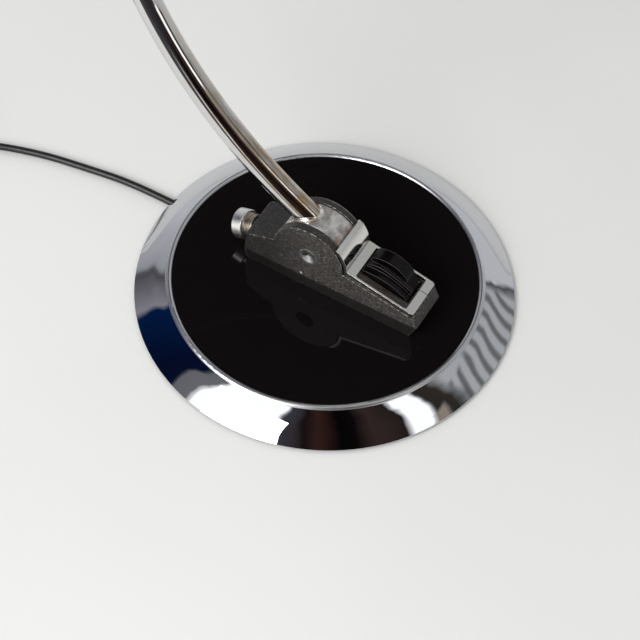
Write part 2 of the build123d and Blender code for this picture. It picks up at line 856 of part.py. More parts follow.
with BuildPart() as arm_lead:
    with BuildLine(Plane.YZ) as lead_path:
        lead_root = root_plane.origin - root_plane.z_dir * lead_way_start
        PolarLine((lead_root.Y, lead_root.Z), lead_way_start + root_start + root_length, root_angle)
        add(lower_bend)
        add(riser)
        add(upper_bend)
        PolarLine(upper_bend @ 1, arm_reach - plug_length / 2, reach_angle)
    with BuildSketch(Plane(origin=lead_path.line @ 0, z_dir=lead_path.line % 0)):
        Circle(lead_radius)
    sweep(path=lead_path.line)
save(arm_lead, "arm_lead")

# Head
with BuildPart() as head_yoke:
    cheek_outer = tongue_half + cheek_gap + cheek_thick
    rod(tilt_plane, eye_radius, -cheek_outer, cheek_outer)
    with Locations((0, head_y, head_z)):
        Box(2 * cheek_outer, 2 * yoke_half, yoke_depth, align=(Align.CENTER, Align.CENTER, Align.MAX))
        Box(
            2 * (tongue_half + cheek_gap),
            2 * eye_radius,
            2 * (yoke_depth - yoke_bridge),
            mode=Mode.SUBTRACT,
        )
    post(0, head_y, stem_radius, head_z - stem_end, head_z - yoke_depth)
    post(0, head_y, stem_bore, head_z - stem_end, head_z - yoke_depth + yoke_bridge, Mode.SUBTRACT)
    rod(tilt_plane, tilt_screw_radius + fit_gap, -cheek_outer, cheek_outer, Mode.SUBTRACT)
save(head_yoke, "head_yoke")

with BuildPart() as tilt_screw:
    rod(tilt_plane, tilt_screw_radius, -cheek_outer, cheek_outer + tilt_nut_thick / 2)
    rod(tilt_plane, tilt_head_radius, -cheek_outer - tilt_head_thick, -cheek_outer)
    chamfer(tilt_screw.edges().filter_by(GeomType.CIRCLE).sort_by(Axis.X)[0], tilt_head_thick / 3)
    with Locations(tilt_plane.offset(-cheek_outer - tilt_head_thick).location):
        Box(2 * tilt_head_radius, slot_width, 2 * slot_depth, mode=Mode.SUBTRACT)
save(tilt_screw, "tilt_screw")

with BuildPart() as tilt_nut:
    with BuildSketch(tilt_plane.offset(cheek_outer)):
        RegularPolygon(tilt_head_radius, 6)
    extrude(amount=tilt_nut_thick)
    thread_end = cheek_outer + tilt_nut_thick / 2 + fit_gap
    rod(tilt_plane, tilt_screw_radius + fit_gap, 0, thread_end, Mode.SUBTRACT)
save(tilt_nut, "tilt_nut")

with BuildPart() as head_cap:
    with BuildSketch(head_plane):
        with BuildLine():
            Polyline(
                (stem_radius + fit_gap, -yoke_depth),
                (cap_neck, -yoke_depth),
                (cap_radius, -crown_drop + cap_edge),
                (cap_radius, -crown_drop),
                (stem_radius + fit_gap, -crown_drop),
                close=True,
            )
        make_face()
    revolve(axis=head_axis)
save(head_cap, "head_cap")

rim_drop = crown_drop + shade_depth
band_drop = rim_drop - shade_band
knurl_angles = [360 / knurl_count * (i + 0.5) for i in range(knurl_count)]


def knurl_plane(angle):
    """Plane on the head's axis, at the height of the diffuser's screws, facing outward."""
    facing = (cos(radians(angle)), sin(radians(angle)), 0)
    return Plane(origin=(0, head_y, head_z - rim_drop + knurl_drop), z_dir=facing)


holder_plane = Plane(origin=(holder_end, head_y, head_z - holder_drop), x_dir=(0, 1, 0), z_dir=(-1, 0, 0))
with BuildPart() as shade:
    with BuildSketch(head_plane):
        with BuildLine():
            inner = shade_radius - shade_sheet
            middle = (crown_flat + shade_radius) / 2
            half_drop = (crown_drop + band_drop) / 2
            Line((stem_radius + fit_gap, -crown_drop), (crown_flat, -crown_drop))
            ThreePointArc(
                (crown_flat, -crown_drop), (middle, shade_bulge - half_drop), (shade_radius, -band_drop)
            )
            Polyline(
                (shade_radius, -band_drop),
                (shade_radius, -rim_drop),
                (inner, -rim_drop),
                (inner, -band_drop),
            )
            ThreePointArc(
                (inner, -band_drop),
                (middle - shade_sheet / 2, shade_bulge - half_drop - shade_sheet),
                (crown_flat, -crown_drop - shade_sheet),
            )
            Polyline(
                (crown_flat, -crown_drop - shade_sheet),
                (stem_radius + fit_gap, -crown_drop - shade_sheet),
                (stem_radius + fit_gap, -crown_drop),
            )
        make_face()
    revolve(axis=head_axis)
    with Locations((0, head_y, head_z - band_drop)):
        with PolarLocations(vent_circle, vent_count):
            Cylinder(vent_radius, 2 * shade_depth, mode=Mode.SUBTRACT)
    for angle in knurl_angles:
        hole_start = shade_radius - 2 * shade_sheet
        rod(knurl_plane(angle), knurl_shank + fit_gap, hole_start, shade_radius, Mode.SUBTRACT)
save(shade, "shade")

with BuildPart() as trim_ring:
    trim_inner = shade_radius + trim_gap
    with BuildSketch(head_plane):
        with BuildLine():
            Polyline(
                (trim_inner, -rim_drop - trim_gap),
                (trim_inner, trim_height - rim_drop),
                (trim_inner + trim_sheet, trim_height - rim_drop),
                (trim_inner + trim_sheet, -rim_drop - trim_gap - trim_sheet),
                (shade_radius - trim_lip, -rim_drop - trim_gap - trim_sheet),
                (shade_radius - trim_lip, -rim_drop - trim_gap),
                close=True,
            )
        make_face()
    revolve(axis=head_axis)
    for angle in knurl_angles:
        rod(knurl_plane(angle), knurl_shank + fit_gap, shade_radius, trim_inner + trim_sheet, Mode.SUBTRACT)
save(trim_ring, "trim_ring")

with BuildPart() as diffuser:
    post(
        0,
        head_y,
        shade_radius - shade_sheet - diffuser_gap,
        head_z - rim_drop - trim_gap,
        head_z - rim_drop - trim_gap + diffuser_thick,
    )
save(diffuser, "diffuser")

with BuildPart() as diffuser_screws:
    for angle in knurl_angles:
        outside = trim_inner + trim_sheet
        rod(knurl_plane(angle), knurl_shank, shade_radius - knurl_reach, outside)
        rod(knurl_plane(angle), knurl_head, outside, outside + knurl_length)
save(diffuser_screws, "diffuser_screws")

with BuildPart() as lamp_bracket:
    plate_top = head_z - crown_drop - shade_sheet
    post(0, head_y, crown_flat - plate_inset, plate_top - bracket_thick, plate_top)
    with BuildSketch(head_plane.offset(-bracket_width / 2)):
        with BuildLine():
            Polyline(
                (stem_radius, plate_top - head_z - bracket_thick / 2),
                (crown_flat - plate_inset, plate_top - head_z - bracket_thick / 2),
                (holder_end + bracket_thick / 2, bracket_knee - holder_drop),
                (holder_end + bracket_thick / 2, -holder_drop - holder_radius / 2),
            )
        trace(line_width=bracket_thick)
    extrude(amount=bracket_width)
    post(0, head_y, stem_radius + fit_gap, plate_top - 2 * bracket_thick, plate_top, Mode.SUBTRACT)
    rod(holder_plane, holder_screw_radius + fit_gap, -bracket_thick, bracket_thick * 2, Mode.SUBTRACT)
save(lamp_bracket, "lamp_bracket")

with BuildPart() as stem_nut:
    with BuildSketch(Plane(origin=(0, head_y, plate_top - bracket_thick))):
        RegularPolygon(stem_nut_radius, 6)
    extrude(amount=-stem_nut_thick)
    post(0, head_y, stem_radius + fit_gap, head_z - rim_drop, plate_top, Mode.SUBTRACT)
save(stem_nut, "stem_nut")

with BuildPart() as lampholder:
    rod(holder_plane, holder_radius, 0, holder_length)
    fillet(lampholder.edges().filter_by(GeomType.CIRCLE), holder_round)
    rod(holder_plane, bulb_cap_radius + bulb_gap, holder_floor, holder_length, Mode.SUBTRACT)
    rod(holder_plane, holder_screw_radius + fit_gap, 0, holder_floor, Mode.SUBTRACT)
save(lampholder, "lampholder")

with BuildPart() as holder_screw:
    rod(holder_plane, holder_screw_radius, -bracket_thick, holder_floor / 2)
    rod(holder_plane, 2 * holder_screw_radius, -bracket_thick - holder_screw_radius, -bracket_thick)
save(holder_screw, "holder_screw")

with BuildPart() as bulb:
    with BuildSketch(Plane(origin=holder_plane.origin, x_dir=holder_plane.z_dir, z_dir=(0, -1, 0))):
        with BuildLine():
            neck = holder_length - bulb_seat
            globe = holder_length + bulb_centre
            touch = globe - sqrt(bulb_radius**2 - bulb_neck**2)
            Line((neck, 0), (neck, bulb_cap_radius - bulb_gap))
            Line((neck, bulb_cap_radius - bulb_gap), (touch, bulb_neck))
            ThreePointArc((touch, bulb_neck), (globe, bulb_radius), (globe + bulb_radius, 0))
            Line((globe + bulb_radius, 0), (neck, 0))
        make_face()
    revolve(axis=Axis(holder_plane.origin, holder_plane.z_dir))
save(bulb, "bulb")

with BuildPart() as bulb_cap:
    rod(holder_plane, bulb_cap_radius, holder_floor + bulb_gap, holder_length - bulb_seat)
save(bulb_cap, "bulb_cap")

# Cord clamp, in the pocket under the foot
with BuildPart() as cord_clamp:
    with Locations((exit_x, clamp_y, pocket_top)):
        Box(clamp_width, clamp_length, clamp_height, align=(Align.CENTER, Align.CENTER, Align.MAX))
    rod(cord_plane, cord_radius, clamp_y - clamp_length, clamp_y + clamp_length, Mode.SUBTRACT)
    for side in (-1, 1):
        x = exit_x + side * clamp_screw_spacing / 2
        post(x, clamp_y, clamp_screw_radius + fit_gap, 0, pocket_top, Mode.SUBTRACT)
        post(x, clamp_y, clamp_screw_head + fit_gap, 0, clamp_head_top, Mode.SUBTRACT)
save(cord_clamp, "cord_clamp")

with BuildPart() as clamp_screws:
    for side in (-1, 1):
        x = exit_x + side * clamp_screw_spacing / 2
        post(x, clamp_y, clamp_screw_radius, clamp_head_top, clamp_screw_top)
        post(x, clamp_y, clamp_screw_head, clamp_head_top - clamp_screw_radius, clamp_head_top)
save(clamp_screws, "clamp_screws")

floor_z = cord_radius + floor_gap
grommet_end = cone_radius(pocket_top, ring_sheet) - grommet_setback
with BuildPart() as cord_grommet:
    with Locations((exit_x, grommet_end - grommet_length, felt_thick)):
        Box(
            2 * (channel_half - fit_gap),
            grommet_length,
            pocket_top - felt_thick - fit_gap,
            align=(Align.CENTER, Align.MIN, Align.MIN),
        )
    exit_plane = Plane(origin=(exit_x, 0, floor_z), x_dir=(1, 0, 0), z_dir=(0, 1, 0))
    rod(exit_plane, cord_radius + grommet_gap, 0, base_radius, Mode.SUBTRACT)
save(cord_grommet, "cord_grommet")

# Leads under the foot: one to the switch, one on to the arm
cord_tube(
    [
        (exit_x + lead_spacing / 2, cord_start_y - lead_gap, lead_z),
        (11.5, 34.0, lead_z),
        (13.0, 10.0, lead_z),
        (11.0, -14.0, lead_z),
        (2.0, -36.0, lead_z),
    ],
    wire_radius,
    "switch_lead",
)
cord_tube(
    [
        (exit_x - lead_spacing / 2, cord_start_y - lead_gap, lead_z),
        (7.6, 34.0, lead_z),
        (6.8, 18.0, lead_z),
        (1.0, 6.0, lead_z),
    ],
    wire_radius,
    "arm_feed_lead",
)

# Mains cord: its free stretch, the put-away coil with its tie, the tail and the plug
away = radians(coil_angle)
outward = Vector(cos(away), sin(away), 0)
along = Vector(sin(away), -cos(away), 0)
centre = Vector(coil_x, coil_y, 0)
coil_low = tie_thick + tie_gap + cord_radius
coil_high = coil_low + coil_pitch
coil_start = centre + outward * coil_outer - along * cord_diameter + Vector(0, 0, coil_low)
cord_last = coil_start - along * cord_last_run
cord_length = cord_tube(
    [
        (exit_x, cord_start_y, cord_z),
        (6.9, dip_y, cord_z),
        (6.9, landing_y, floor_z),
        (7.2, straight_y, floor_z),
        (2.4, bend_y, floor_z),
        (-3.6, swing_y, floor_z),
        tuple(cord_last),
        tuple(coil_start),
    ],
    cord_radius,
    "mains_cord",
)


def across(offset, height):
    """Point on the line through the coil's centre where its half turns meet."""
    return centre + outward * offset + Vector(0, 0, height)


with BuildPart() as cord_coil:
    with BuildLine() as turns:
        heading = along
        place = across(coil_outer, coil_low)
        Line(coil_start, place)
        step = coil_pitch / 2
        # Inward on the floor: each half turn is half a pitch tighter than the last
        for turn in range(coil_half_turns):
            radius = coil_outer - turn * step
            side = 1 if turn % 2 == 0 else -1
            offset = (place - centre).dot(outward)
            target = across(offset - 2 * side * radius, coil_low)
            ThreePointArc(place, across(offset - side * radius, coil_low) + along * side * radius, target)
            place = target
            heading = heading * -1
        # Climb to the upper layer in the half turn where the spiral reverses
        radius = coil_outer - coil_half_turns * step
        offset = (place - centre).dot(outward)
        target = across(offset + 2 * radius, coil_high)
        halfway = (place + target) / 2 + heading * (target - place).length / 2
        first = TangentArc(place, halfway, tangent=heading)
        TangentArc(halfway, target, tangent=first % 1)
        place = target
        heading = heading * -1
        # Outward again
        for turn in range(coil_half_turns - 1):
            radius = coil_outer - (coil_half_turns - 1 - turn) * step
            side = 1 if turn % 2 == 0 else -1
            offset = (place - centre).dot(outward)
            target = across(offset - 2 * side * radius, coil_high)
            ThreePointArc(place, across(offset - side * radius, coil_high) + along * side * radius, target)
            place = target
            heading = heading * -1
        coil_end = place + heading * cord_diameter
        Line(place, coil_end)
    with BuildSketch(Plane(origin=turns.line @ 0, z_dir=turns.line % 0)):
        Circle(cord_radius)
    sweep(path=turns.line)
coil_length = turns.wire().length
share = cord_coil.part.volume / (pi * cord_radius**2 * coil_length)
print("cord_coil length", round(coil_length, 1), "volume", round(share, 4), "ends", coil_end, heading)
coil_wire = turns.wire()
samples = [coil_wire @ (i / coil_samples) for i in range(coil_samples + 1)]
spacing = coil_length / coil_samples
least = min(
    (samples[i] - samples[j]).length
    for i in range(len(samples))
    for j in range(i + ceil(gap_skip * cord_diameter / spacing), len(samples))
)
print("cord_coil least gap to itself", round(least - cord_diameter, 3))
save(cord_coil, "cord_coil")

with BuildPart() as cord_tie:
    tie_plane = Plane(origin=centre, x_dir=along, z_dir=outward * -1)
    tie_near = tie_inner - tie_gap
    tie_far = coil_outer + cord_radius + tie_gap
    tie_top = coil_high + cord_radius + tie_gap
    with BuildSketch(tie_plane.offset(-tie_width / 2)):
        with Locations(((tie_near + tie_far) / 2, (tie_top + tie_thick) / 2)):
            RectangleRounded(
                tie_far - tie_near + 2 * tie_thick, tie_top + tie_thick, tie_round + tie_thick
            )
            RectangleRounded(tie_far - tie_near, tie_top - tie_thick, tie_round, mode=Mode.SUBTRACT)
    extrude(amount=tie_width)
save(cord_tie, "cord_tie")


def bearing(degrees_on_floor):
    """Unit vector at an angle on the floor."""
    return Vector(cos(radians(degrees_on_floor)), sin(radians(degrees_on_floor)), 0)


tail_one = coil_end + heading * tail_first
tail_two = tail_one + bearing(coil_angle - 90 - tail_turn) * tail_second
tail_two = tail_two + Vector(0, 0, plug_axis - coil_high)
plug_heading = bearing(coil_angle - 90 - 2 * tail_turn)
tail_end = tail_two + plug_heading * tail_third
tail_length = cord_tube(
    [tuple(coil_end), tuple(tail_one), tuple(tail_two), tuple(tail_end)],
    cord_radius,
    "cord_tail",
)
plug_plane = Plane(origin=tail_end, x_dir=plug_heading.cross(Vector(0, 0, 1)), z_dir=plug_heading)

with BuildPart() as plug_relief:
    with BuildSketch(plug_plane):
        Circle(relief_small)
    with BuildSketch(plug_plane.offset(relief_length)):
        Circle(relief_large)
    loft()
save(plug_relief, "plug_relief")

with BuildPart() as plug_body:
    for start, size in ((0, plug_neck), (plug_taper, plug_width), (plug_length_body, plug_width)):
        with BuildSketch(plug_plane.offset(relief_length + start)):
            RectangleRounded(size, plug_thick, plug_thick / 3)
    loft(ruled=True)
    for side in (-1, 1):
        with Locations(plug_plane.offset(relief_length + plug_length_body).location):
            with Locations((side * pin_spacing / 2, 0, 0)):
                Cylinder(
                    pin_radius,
                    pin_depth,
                    align=(Align.CENTER, Align.CENTER, Align.MAX),
                    mode=Mode.SUBTRACT,
                )
save(plug_body, "plug_body")

with BuildPart() as plug_pins:
    for side in (-1, 1):
        with Locations(plug_plane.offset(relief_length + plug_length_body - pin_depth).location):
            with Locations((side * pin_spacing / 2, 0, 0)):
                Cylinder(pin_radius, pin_depth + pin_length, align=(Align.CENTER, Align.CENTER, Align.MIN))
save(plug_pins, "plug_pins")
print("cord total", round(cord_length + coil_length + tail_length + relief_length + plug_length_body))
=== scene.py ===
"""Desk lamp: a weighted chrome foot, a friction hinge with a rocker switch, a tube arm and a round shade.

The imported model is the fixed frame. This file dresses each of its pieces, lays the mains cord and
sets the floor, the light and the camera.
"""

import logging
import math
from collections.abc import Sequence
from dataclasses import dataclass, field
from enum import Enum
from typing import Any

import bpy
from mathutils import Matrix, Vector


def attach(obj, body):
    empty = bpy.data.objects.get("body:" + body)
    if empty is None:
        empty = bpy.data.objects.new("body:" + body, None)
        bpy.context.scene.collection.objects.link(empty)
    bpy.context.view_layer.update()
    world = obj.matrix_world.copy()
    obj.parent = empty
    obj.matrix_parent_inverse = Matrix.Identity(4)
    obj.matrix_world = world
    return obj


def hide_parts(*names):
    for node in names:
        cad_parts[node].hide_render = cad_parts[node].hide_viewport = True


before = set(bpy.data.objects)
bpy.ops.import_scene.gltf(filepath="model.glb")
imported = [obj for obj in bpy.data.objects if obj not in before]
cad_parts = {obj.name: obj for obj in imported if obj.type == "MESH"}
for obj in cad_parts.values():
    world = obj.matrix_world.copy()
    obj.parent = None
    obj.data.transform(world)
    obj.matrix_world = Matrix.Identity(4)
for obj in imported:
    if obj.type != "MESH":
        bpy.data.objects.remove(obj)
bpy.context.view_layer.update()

LOG = logging.getLogger("desk_lamp")
MM = 0.001
ORIGIN = Vector((0.0, 0.0, 0.0))
X_AXIS = Vector((1.0, 0.0, 0.0))
Y_AXIS = Vector((0.0, 1.0, 0.0))
Z_AXIS = Vector((0.0, 0.0, 1.0))

# Places that the finishes and pieces share, in metres in the frame of the lamp
PIVOT = Vector((0.0, 4.9, 46.3)) * MM
BRAKE_AXIS = Vector((0.0, math.cos(math.radians(20.0)), -math.sin(math.radians(20.0))))
ARM_ROOT_ANGLE = math.radians(33.8)
ARM_ROOT_OFFSET = 10.5 * MM
TUBE_RADIUS = 7.5 * MM
DRUM_RADIUS = 22.0 * MM

Socket = bpy.types.NodeSocket
Pair = tuple[float, float]
Triple = tuple[float, float, float]

# All of a share, and a pattern drawn out alike along X, Y and Z
WHOLE: Pair = (0.0, 1.0)
EVEN: Triple = (1.0, 1.0, 1.0)


def linear(hex_colour: str) -> tuple[float, float, float, float]:
    """Turns an sRGB hex colour into linear light.

    Args:
        hex_colour: six hex digits after a hash, such as "#8c8c8f".

    Returns:
        Red, green, blue and an alpha of one.
    """
    channels = [int(hex_colour[i : i + 2], 16) / 255 for i in (1, 3, 5)]
    light = [c / 12.92 if c <= 0.04045 else ((c + 0.055) / 1.055) ** 2.4 for c in channels]
    return (light[0], light[1], light[2], 1.0)


def towards(angle: float) -> Vector:
    """Unit vector along the floor, at an angle in degrees from the X axis."""
    return Vector((math.cos(math.radians(angle)), math.sin(math.radians(angle)), 0.0))


class NodeWork:
    """A node tree that is being filled, with the colour that it has come to so far."""

    def __init__(self, tree: bpy.types.NodeTree) -> None:
        """Takes a node tree and empties it."""
        self.tree = tree
        self.tree.nodes.clear()
        self.colour: Any = None

    def add(
        self,
        kind: str,
        inputs: Sequence[Any] | dict[Any, Any] = (),
        output: int | str = 0,
        **settings: Any,
    ) -> Socket:
        """Adds one node with its settings and links.

        Args:
            kind: Blender's name for the node, without the "ShaderNode" that it starts with.
            inputs: what its inputs get, in order or by name or number: sockets, hex colours or values.
            output: the name or number of the output that is wanted.
            settings: the node's own settings.

        Returns:
            The output that is wanted.
        """
        node = self.tree.nodes.new("ShaderNode" + kind)
        for name, value in settings.items():
            setattr(node, name, value)
        given = inputs if isinstance(inputs, dict) else dict(enumerate(inputs))
        for name, value in given.items():
            if isinstance(value, Socket):
                self.tree.links.new(value, node.inputs[name])
            else:
                node.inputs[name].default_value = linear(value) if isinstance(value, str) else value
        return node.outputs[output]

    def coat(self, tone: str, share: Socket) -> None:
        """Lays a tone over the colour so far, as thickly as share says, from nought to one."""
        self.colour = self.add("Mix", {0: share, 6: self.colour, 7: tone}, 2, data_type="RGBA")


class Surface(NodeWork):
    """A material in the making: its shader, and the patterns that it can have, in real sizes.

    Where a pattern takes greys and shares, it turns the greys of its own pattern into those shares, and
    holds them beyond. Most of a cloud's greys lie from 0.3 to 0.7.
    """

    def __init__(self, name: str, ground: str = "", **values: Any) -> None:
        """Starts a material with one shader.

        Args:
            name: the material's name.
            ground: the colour under its coats, if it has coats.
            values: values for the shader's own sockets, by their names with underscores.
        """
        self.material = bpy.data.materials.new(name)
        self.material.use_nodes = True
        super().__init__(self.material.node_tree)
        named = {key.replace("_", " "): value for key, value in values.items()}
        closure = self.add("BsdfPrincipled", named)
        self.shader = closure.node
        end = self.tree.nodes.new("ShaderNodeOutputMaterial")
        self.tree.links.new(closure, end.inputs["Surface"])
        self.place = self.add("TexCoord", output="Object")
        self.colour = ground

    def feed(self, name: str, socket: Socket) -> None:
        """Feeds one of the shader's sockets."""
        self.tree.links.new(socket, self.shader.inputs[name])

    def coat(self, tone: str, share: Socket) -> None:
        """Lays a coat of a tone over the surface, where and as thickly as share says."""
        super().coat(tone, share)
        self.feed("Base Color", self.colour)

    def noise(self, size_mm: float, detail: float = 3.0, stretch: Triple = EVEN) -> Socket:
        """Cloudy pattern whose blotches are about size_mm across, narrowed by stretch along X, Y and Z."""
        mapped = self.add("Mapping", {"Vector": self.place, "Scale": stretch})
        return self.add("TexNoise", {"Vector": mapped, "Scale": 1 / (size_mm * MM), "Detail": detail})

    def clouds(
        self,
        size_mm: float,
        detail: float,
        greys: Pair,
        shares: Pair = WHOLE,
        stretch: Triple = EVEN,
    ) -> Socket:
        """Cloudy pattern as above, with its greys turned into shares."""
        return self.add("MapRange", (self.noise(size_mm, detail, stretch), *greys, *shares))

    def flecks(self, size_mm: float, greys: Pair, shares: Pair = WHOLE) -> Socket:
        """Random share per cell, for flakes or grit about size_mm across."""
        cells = self.add("TexVoronoi", {"Vector": self.place, "Scale": 1 / (size_mm * MM)}, "Color")
        return self.add("MapRange", (cells, *greys, *shares))

    def along(self, axis: Vector, origin: Vector) -> Socket:
        """Distance in metres along an axis from an origin."""
        shifted = self.add("VectorMath", (self.place, origin), operation="SUBTRACT")
        return self.add("VectorMath", (shifted, axis), "Value", operation="DOT_PRODUCT")

    def fade(self, axis: Vector, origin: Vector, stretch: Pair, shares: Pair = WHOLE) -> Socket:
        """Share that changes over a stretch of an axis, given by its distances in metres from an origin."""
        return self.add("MapRange", (self.along(axis, origin), *stretch, *shares))

    def facing(self, axis: Vector) -> Socket:
        """How far a face looks along an axis: one squarely along it, minus one squarely against it."""
        normal = self.add("TexCoord", output="Normal")
        return self.add("VectorMath", (normal, axis), "Value", operation="DOT_PRODUCT")

    def turned(self, axis: Vector, greys: Pair, shares: Pair = WHOLE) -> Socket:
        """Share that changes as faces turn to look along an axis."""
        return self.add("MapRange", (self.facing(axis), *greys, *shares))

    def spot(self, centre: Vector, radius_mm: float, ragged: float = 0.5) -> Socket:
        """One inside a ragged spot about a place and nought outside it."""
        radius = radius_mm * MM
        distance = self.add("VectorMath", (self.place, centre), "Value", operation="DISTANCE")
        fray = self.add("Math", (self.noise(radius_mm * 0.8, 4), ragged * 2 * radius), operation="MULTIPLY")
        reach = self.add("Math", (distance, fray), operation="ADD")
        edge = radius * (1 + ragged)
        return self.add("MapRange", (reach, edge * 1.05, edge * 0.95))

    def edges(self, radius_mm: float) -> Socket:
        """One along the solid's sharp edges and nought on its faces."""
        rounded = self.add("Bevel", {"Radius": radius_mm * MM}, samples=6)
        flat = self.add("NewGeometry", output="Normal")
        match = self.add("VectorMath", (rounded, flat), "Value", operation="DOT_PRODUCT")
        return self.add("MapRange", (match, 0.995, 0.90))

    def relief(self, height: Socket, depth_mm: float, strength: float, soften_mm: float = 0.0) -> None:
        """Gives the surface a relief, and rounds the look of its sharp edges.

        Args:
            height: the pattern, from nought to one.
            depth_mm: how deep the pattern is.
            strength: how much of it shows.
            soften_mm: the radius that sharp edges seem to have.
        """
        inputs = {"Height": height, "Distance": depth_mm * MM, "Strength": strength}
        if soften_mm:
            inputs["Normal"] = self.add("Bevel", {"Radius": soften_mm * MM}, samples=6)
        self.feed("Normal", self.add("Bump", inputs))


@dataclass(frozen=True)
class HammeredEnamel:
    """Stoved metallic enamel over a die casting: dark grey and speckled, chipped to the metal at its edges.

    Its tops, what looks down and its back are darkened with painted shade.
    """

    dark: str = "#151414"
    light: str = "#5e5a56"
    # Tones of painted shade: on the tops, and on what looks down
    top: str = "#0d0808"
    foot: str = "#151413"
    flake: str = "#aba8a0"
    violet: str = "#52444c"
    bare: str = "#c9c6c0"
    speckle_mm: float = 0.75
    violet_mm: float = 1.9
    dimple_mm: float = 1.1
    dimple_depth_mm: float = 0.12
    chip_mm: float = 0.55
    chip_gap_mm: float = 1.3
    # How far behind the pivot the painted shade toward the back reaches its full depth
    painted_shade_end: float = 26.0 * MM
    chip: Vector = Vector((-14.0, 8.9, 28.5)) * MM
    chip_radius_mm: float = 0.9

    def build(self) -> bpy.types.Material:
        """Builds the enamel, its flakes, its painted shade, its dimples and its chipped edges."""
        surface = Surface("hammered_enamel", self.dark, Metallic=0.3, Roughness=0.45)
        surface.coat(self.light, surface.clouds(self.speckle_mm, 5, (0.36, 0.62)))
        surface.coat(self.violet, surface.clouds(self.violet_mm, 3, (0.5, 0.72), (0.0, 0.4)))
        surface.coat(self.flake, surface.flecks(self.speckle_mm, (0.78, 0.95), (0.0, 0.8)))
        # Painted shade: darker toward the back, on the tops and on what looks down
        surface.coat(self.dark, surface.fade(Y_AXIS, PIVOT, (0.0, self.painted_shade_end), (0.0, 0.62)))
        sideways = surface.add("Math", (surface.facing(X_AXIS),), operation="ABSOLUTE")
        surface.coat(self.top, surface.add("MapRange", (sideways, 0.2, 0.8, 0.48, 0.0)))
        surface.coat(self.foot, surface.turned(-Z_AXIS, (0.04, 0.16), (0.0, 0.75)))
        # Edges worn through here and there, and one chip on the side
        broken = surface.clouds(self.chip_gap_mm, 5, (0.48, 0.56))
        worn = surface.add("Math", (surface.edges(self.chip_mm), broken), operation="MULTIPLY")
        chip = surface.spot(self.chip, self.chip_radius_mm)
        surface.coat(self.bare, surface.add("Math", (worn, chip), operation="MAXIMUM"))
        surface.feed("Roughness", surface.clouds(self.dimple_mm, 2, (0.3, 0.7), (0.38, 0.55)))
        surface.relief(surface.noise(self.dimple_mm, 3), self.dimple_depth_mm, 0.6, self.chip_mm)
        return surface.material


@dataclass(frozen=True)
class ChromePlate:
    """Chromium over polished nickel: a clean mirror, with the faint waves of the metal under it.

    Spun sheet also has waves round its axis, and a lip that its bending left less bright.
    """

    name: str = "chrome_plate_polished"
    tint: str = "#cecfd3"
    gloss: float = 0.015
    wave_mm: float = 26.0
    wave_depth_mm: float = 0.05
    soften_mm: float = 0.0
    spin_mm: float = 0.0
    spin_depth_mm: float = 0.15
    haze: float = 0.03
    haze_mm: float = 3.0
    lip_gloss: float = 0.3
    lip_end: float = 94.0 * MM
    lip_edge: float = 0.3 * MM

    def build(self) -> bpy.types.Material:
        """Builds the plating with its waves and a light haze."""
        surface = Surface(self.name, Metallic=1.0, Roughness=self.gloss, Base_Color=linear(self.tint))
        haze = surface.clouds(self.haze_mm, 5, (0.55, 0.8), (self.gloss, self.gloss + self.haze))
        wave = (surface.noise(self.wave_mm, 1), self.wave_depth_mm)
        height = surface.add("Math", wave, operation="MULTIPLY")
        if self.spin_mm:
            flat = surface.add("VectorMath", (surface.place, (1.0, 1.0, 0.0)), operation="MULTIPLY")
            radius = surface.add("VectorMath", (flat,), "Value", operation="LENGTH")
            lip = (radius, self.lip_end + self.lip_edge, self.lip_end, 0.0, self.lip_gloss)
            haze = surface.add("Math", (haze, surface.add("MapRange", lip)), operation="MAXIMUM")
            turn = surface.add("Math", (radius, math.tau / (self.spin_mm * MM)), operation="MULTIPLY")
            ripple = surface.add("Math", (turn,), operation="SINE")
            spun = surface.add("Math", (ripple, self.spin_depth_mm / 2), operation="MULTIPLY")
            height = surface.add("Math", (height, spun), operation="ADD")
        surface.feed("Roughness", haze)
        surface.relief(height, 1.0, 1.0, self.soften_mm)
        return surface.material


@dataclass(frozen=True)
class TarnishedTube:
    """Chrome-plated steel tube that was brazed at its root: the heat left a golden-brown film there."""

    tint: str = "#dcdcdc"
    film: str = "#a3855a"
    film_start: float = 18.0 * MM
    film_end: float = 210.0 * MM
    film_fall: float = 1.3
    blotch_mm: float = 14.0
    # The side that faces the window light, where the film thins as a painted highlight
    lit_side: Vector = Vector((-0.75, 0.66, 0.0))

    def build(self) -> bpy.types.Material:
        """Builds the plating and the brown film, which thins out up the tube and, as a painted highlight,
        on the side that faces the window light.
        """
        surface = Surface("chrome_tube_brazed", self.tint, Metallic=1.0, Roughness=0.06)
        direction = Vector((0.0, math.cos(ARM_ROOT_ANGLE), math.sin(ARM_ROOT_ANGLE)))
        near = surface.fade(direction, PIVOT, (self.film_start, self.film_end), (1.0, 0.0))
        near = surface.add("Math", (near, self.film_fall), operation="POWER")
        cloud = surface.clouds(self.blotch_mm, 4, (0.30, 0.62), (0.25, 1.0), (2.2, 1.0, 1.0))
        film = surface.add("Math", (near, cloud), operation="MULTIPLY")
        # Painted highlight: the film thins on the side that faces the window light
        rubbed_and_lit = surface.turned(self.lit_side, (0.35, 0.7), (1.0, 0.15))
        film = surface.add("Math", (film, rubbed_and_lit), operation="MULTIPLY")
        surface.coat(self.film, film)
        surface.feed("Roughness", surface.add("MapRange", (film, 0.0, 1.0, 0.04, 0.2)))
        surface.relief(surface.noise(6.0, 2), 0.01, 0.5)
        return surface.material


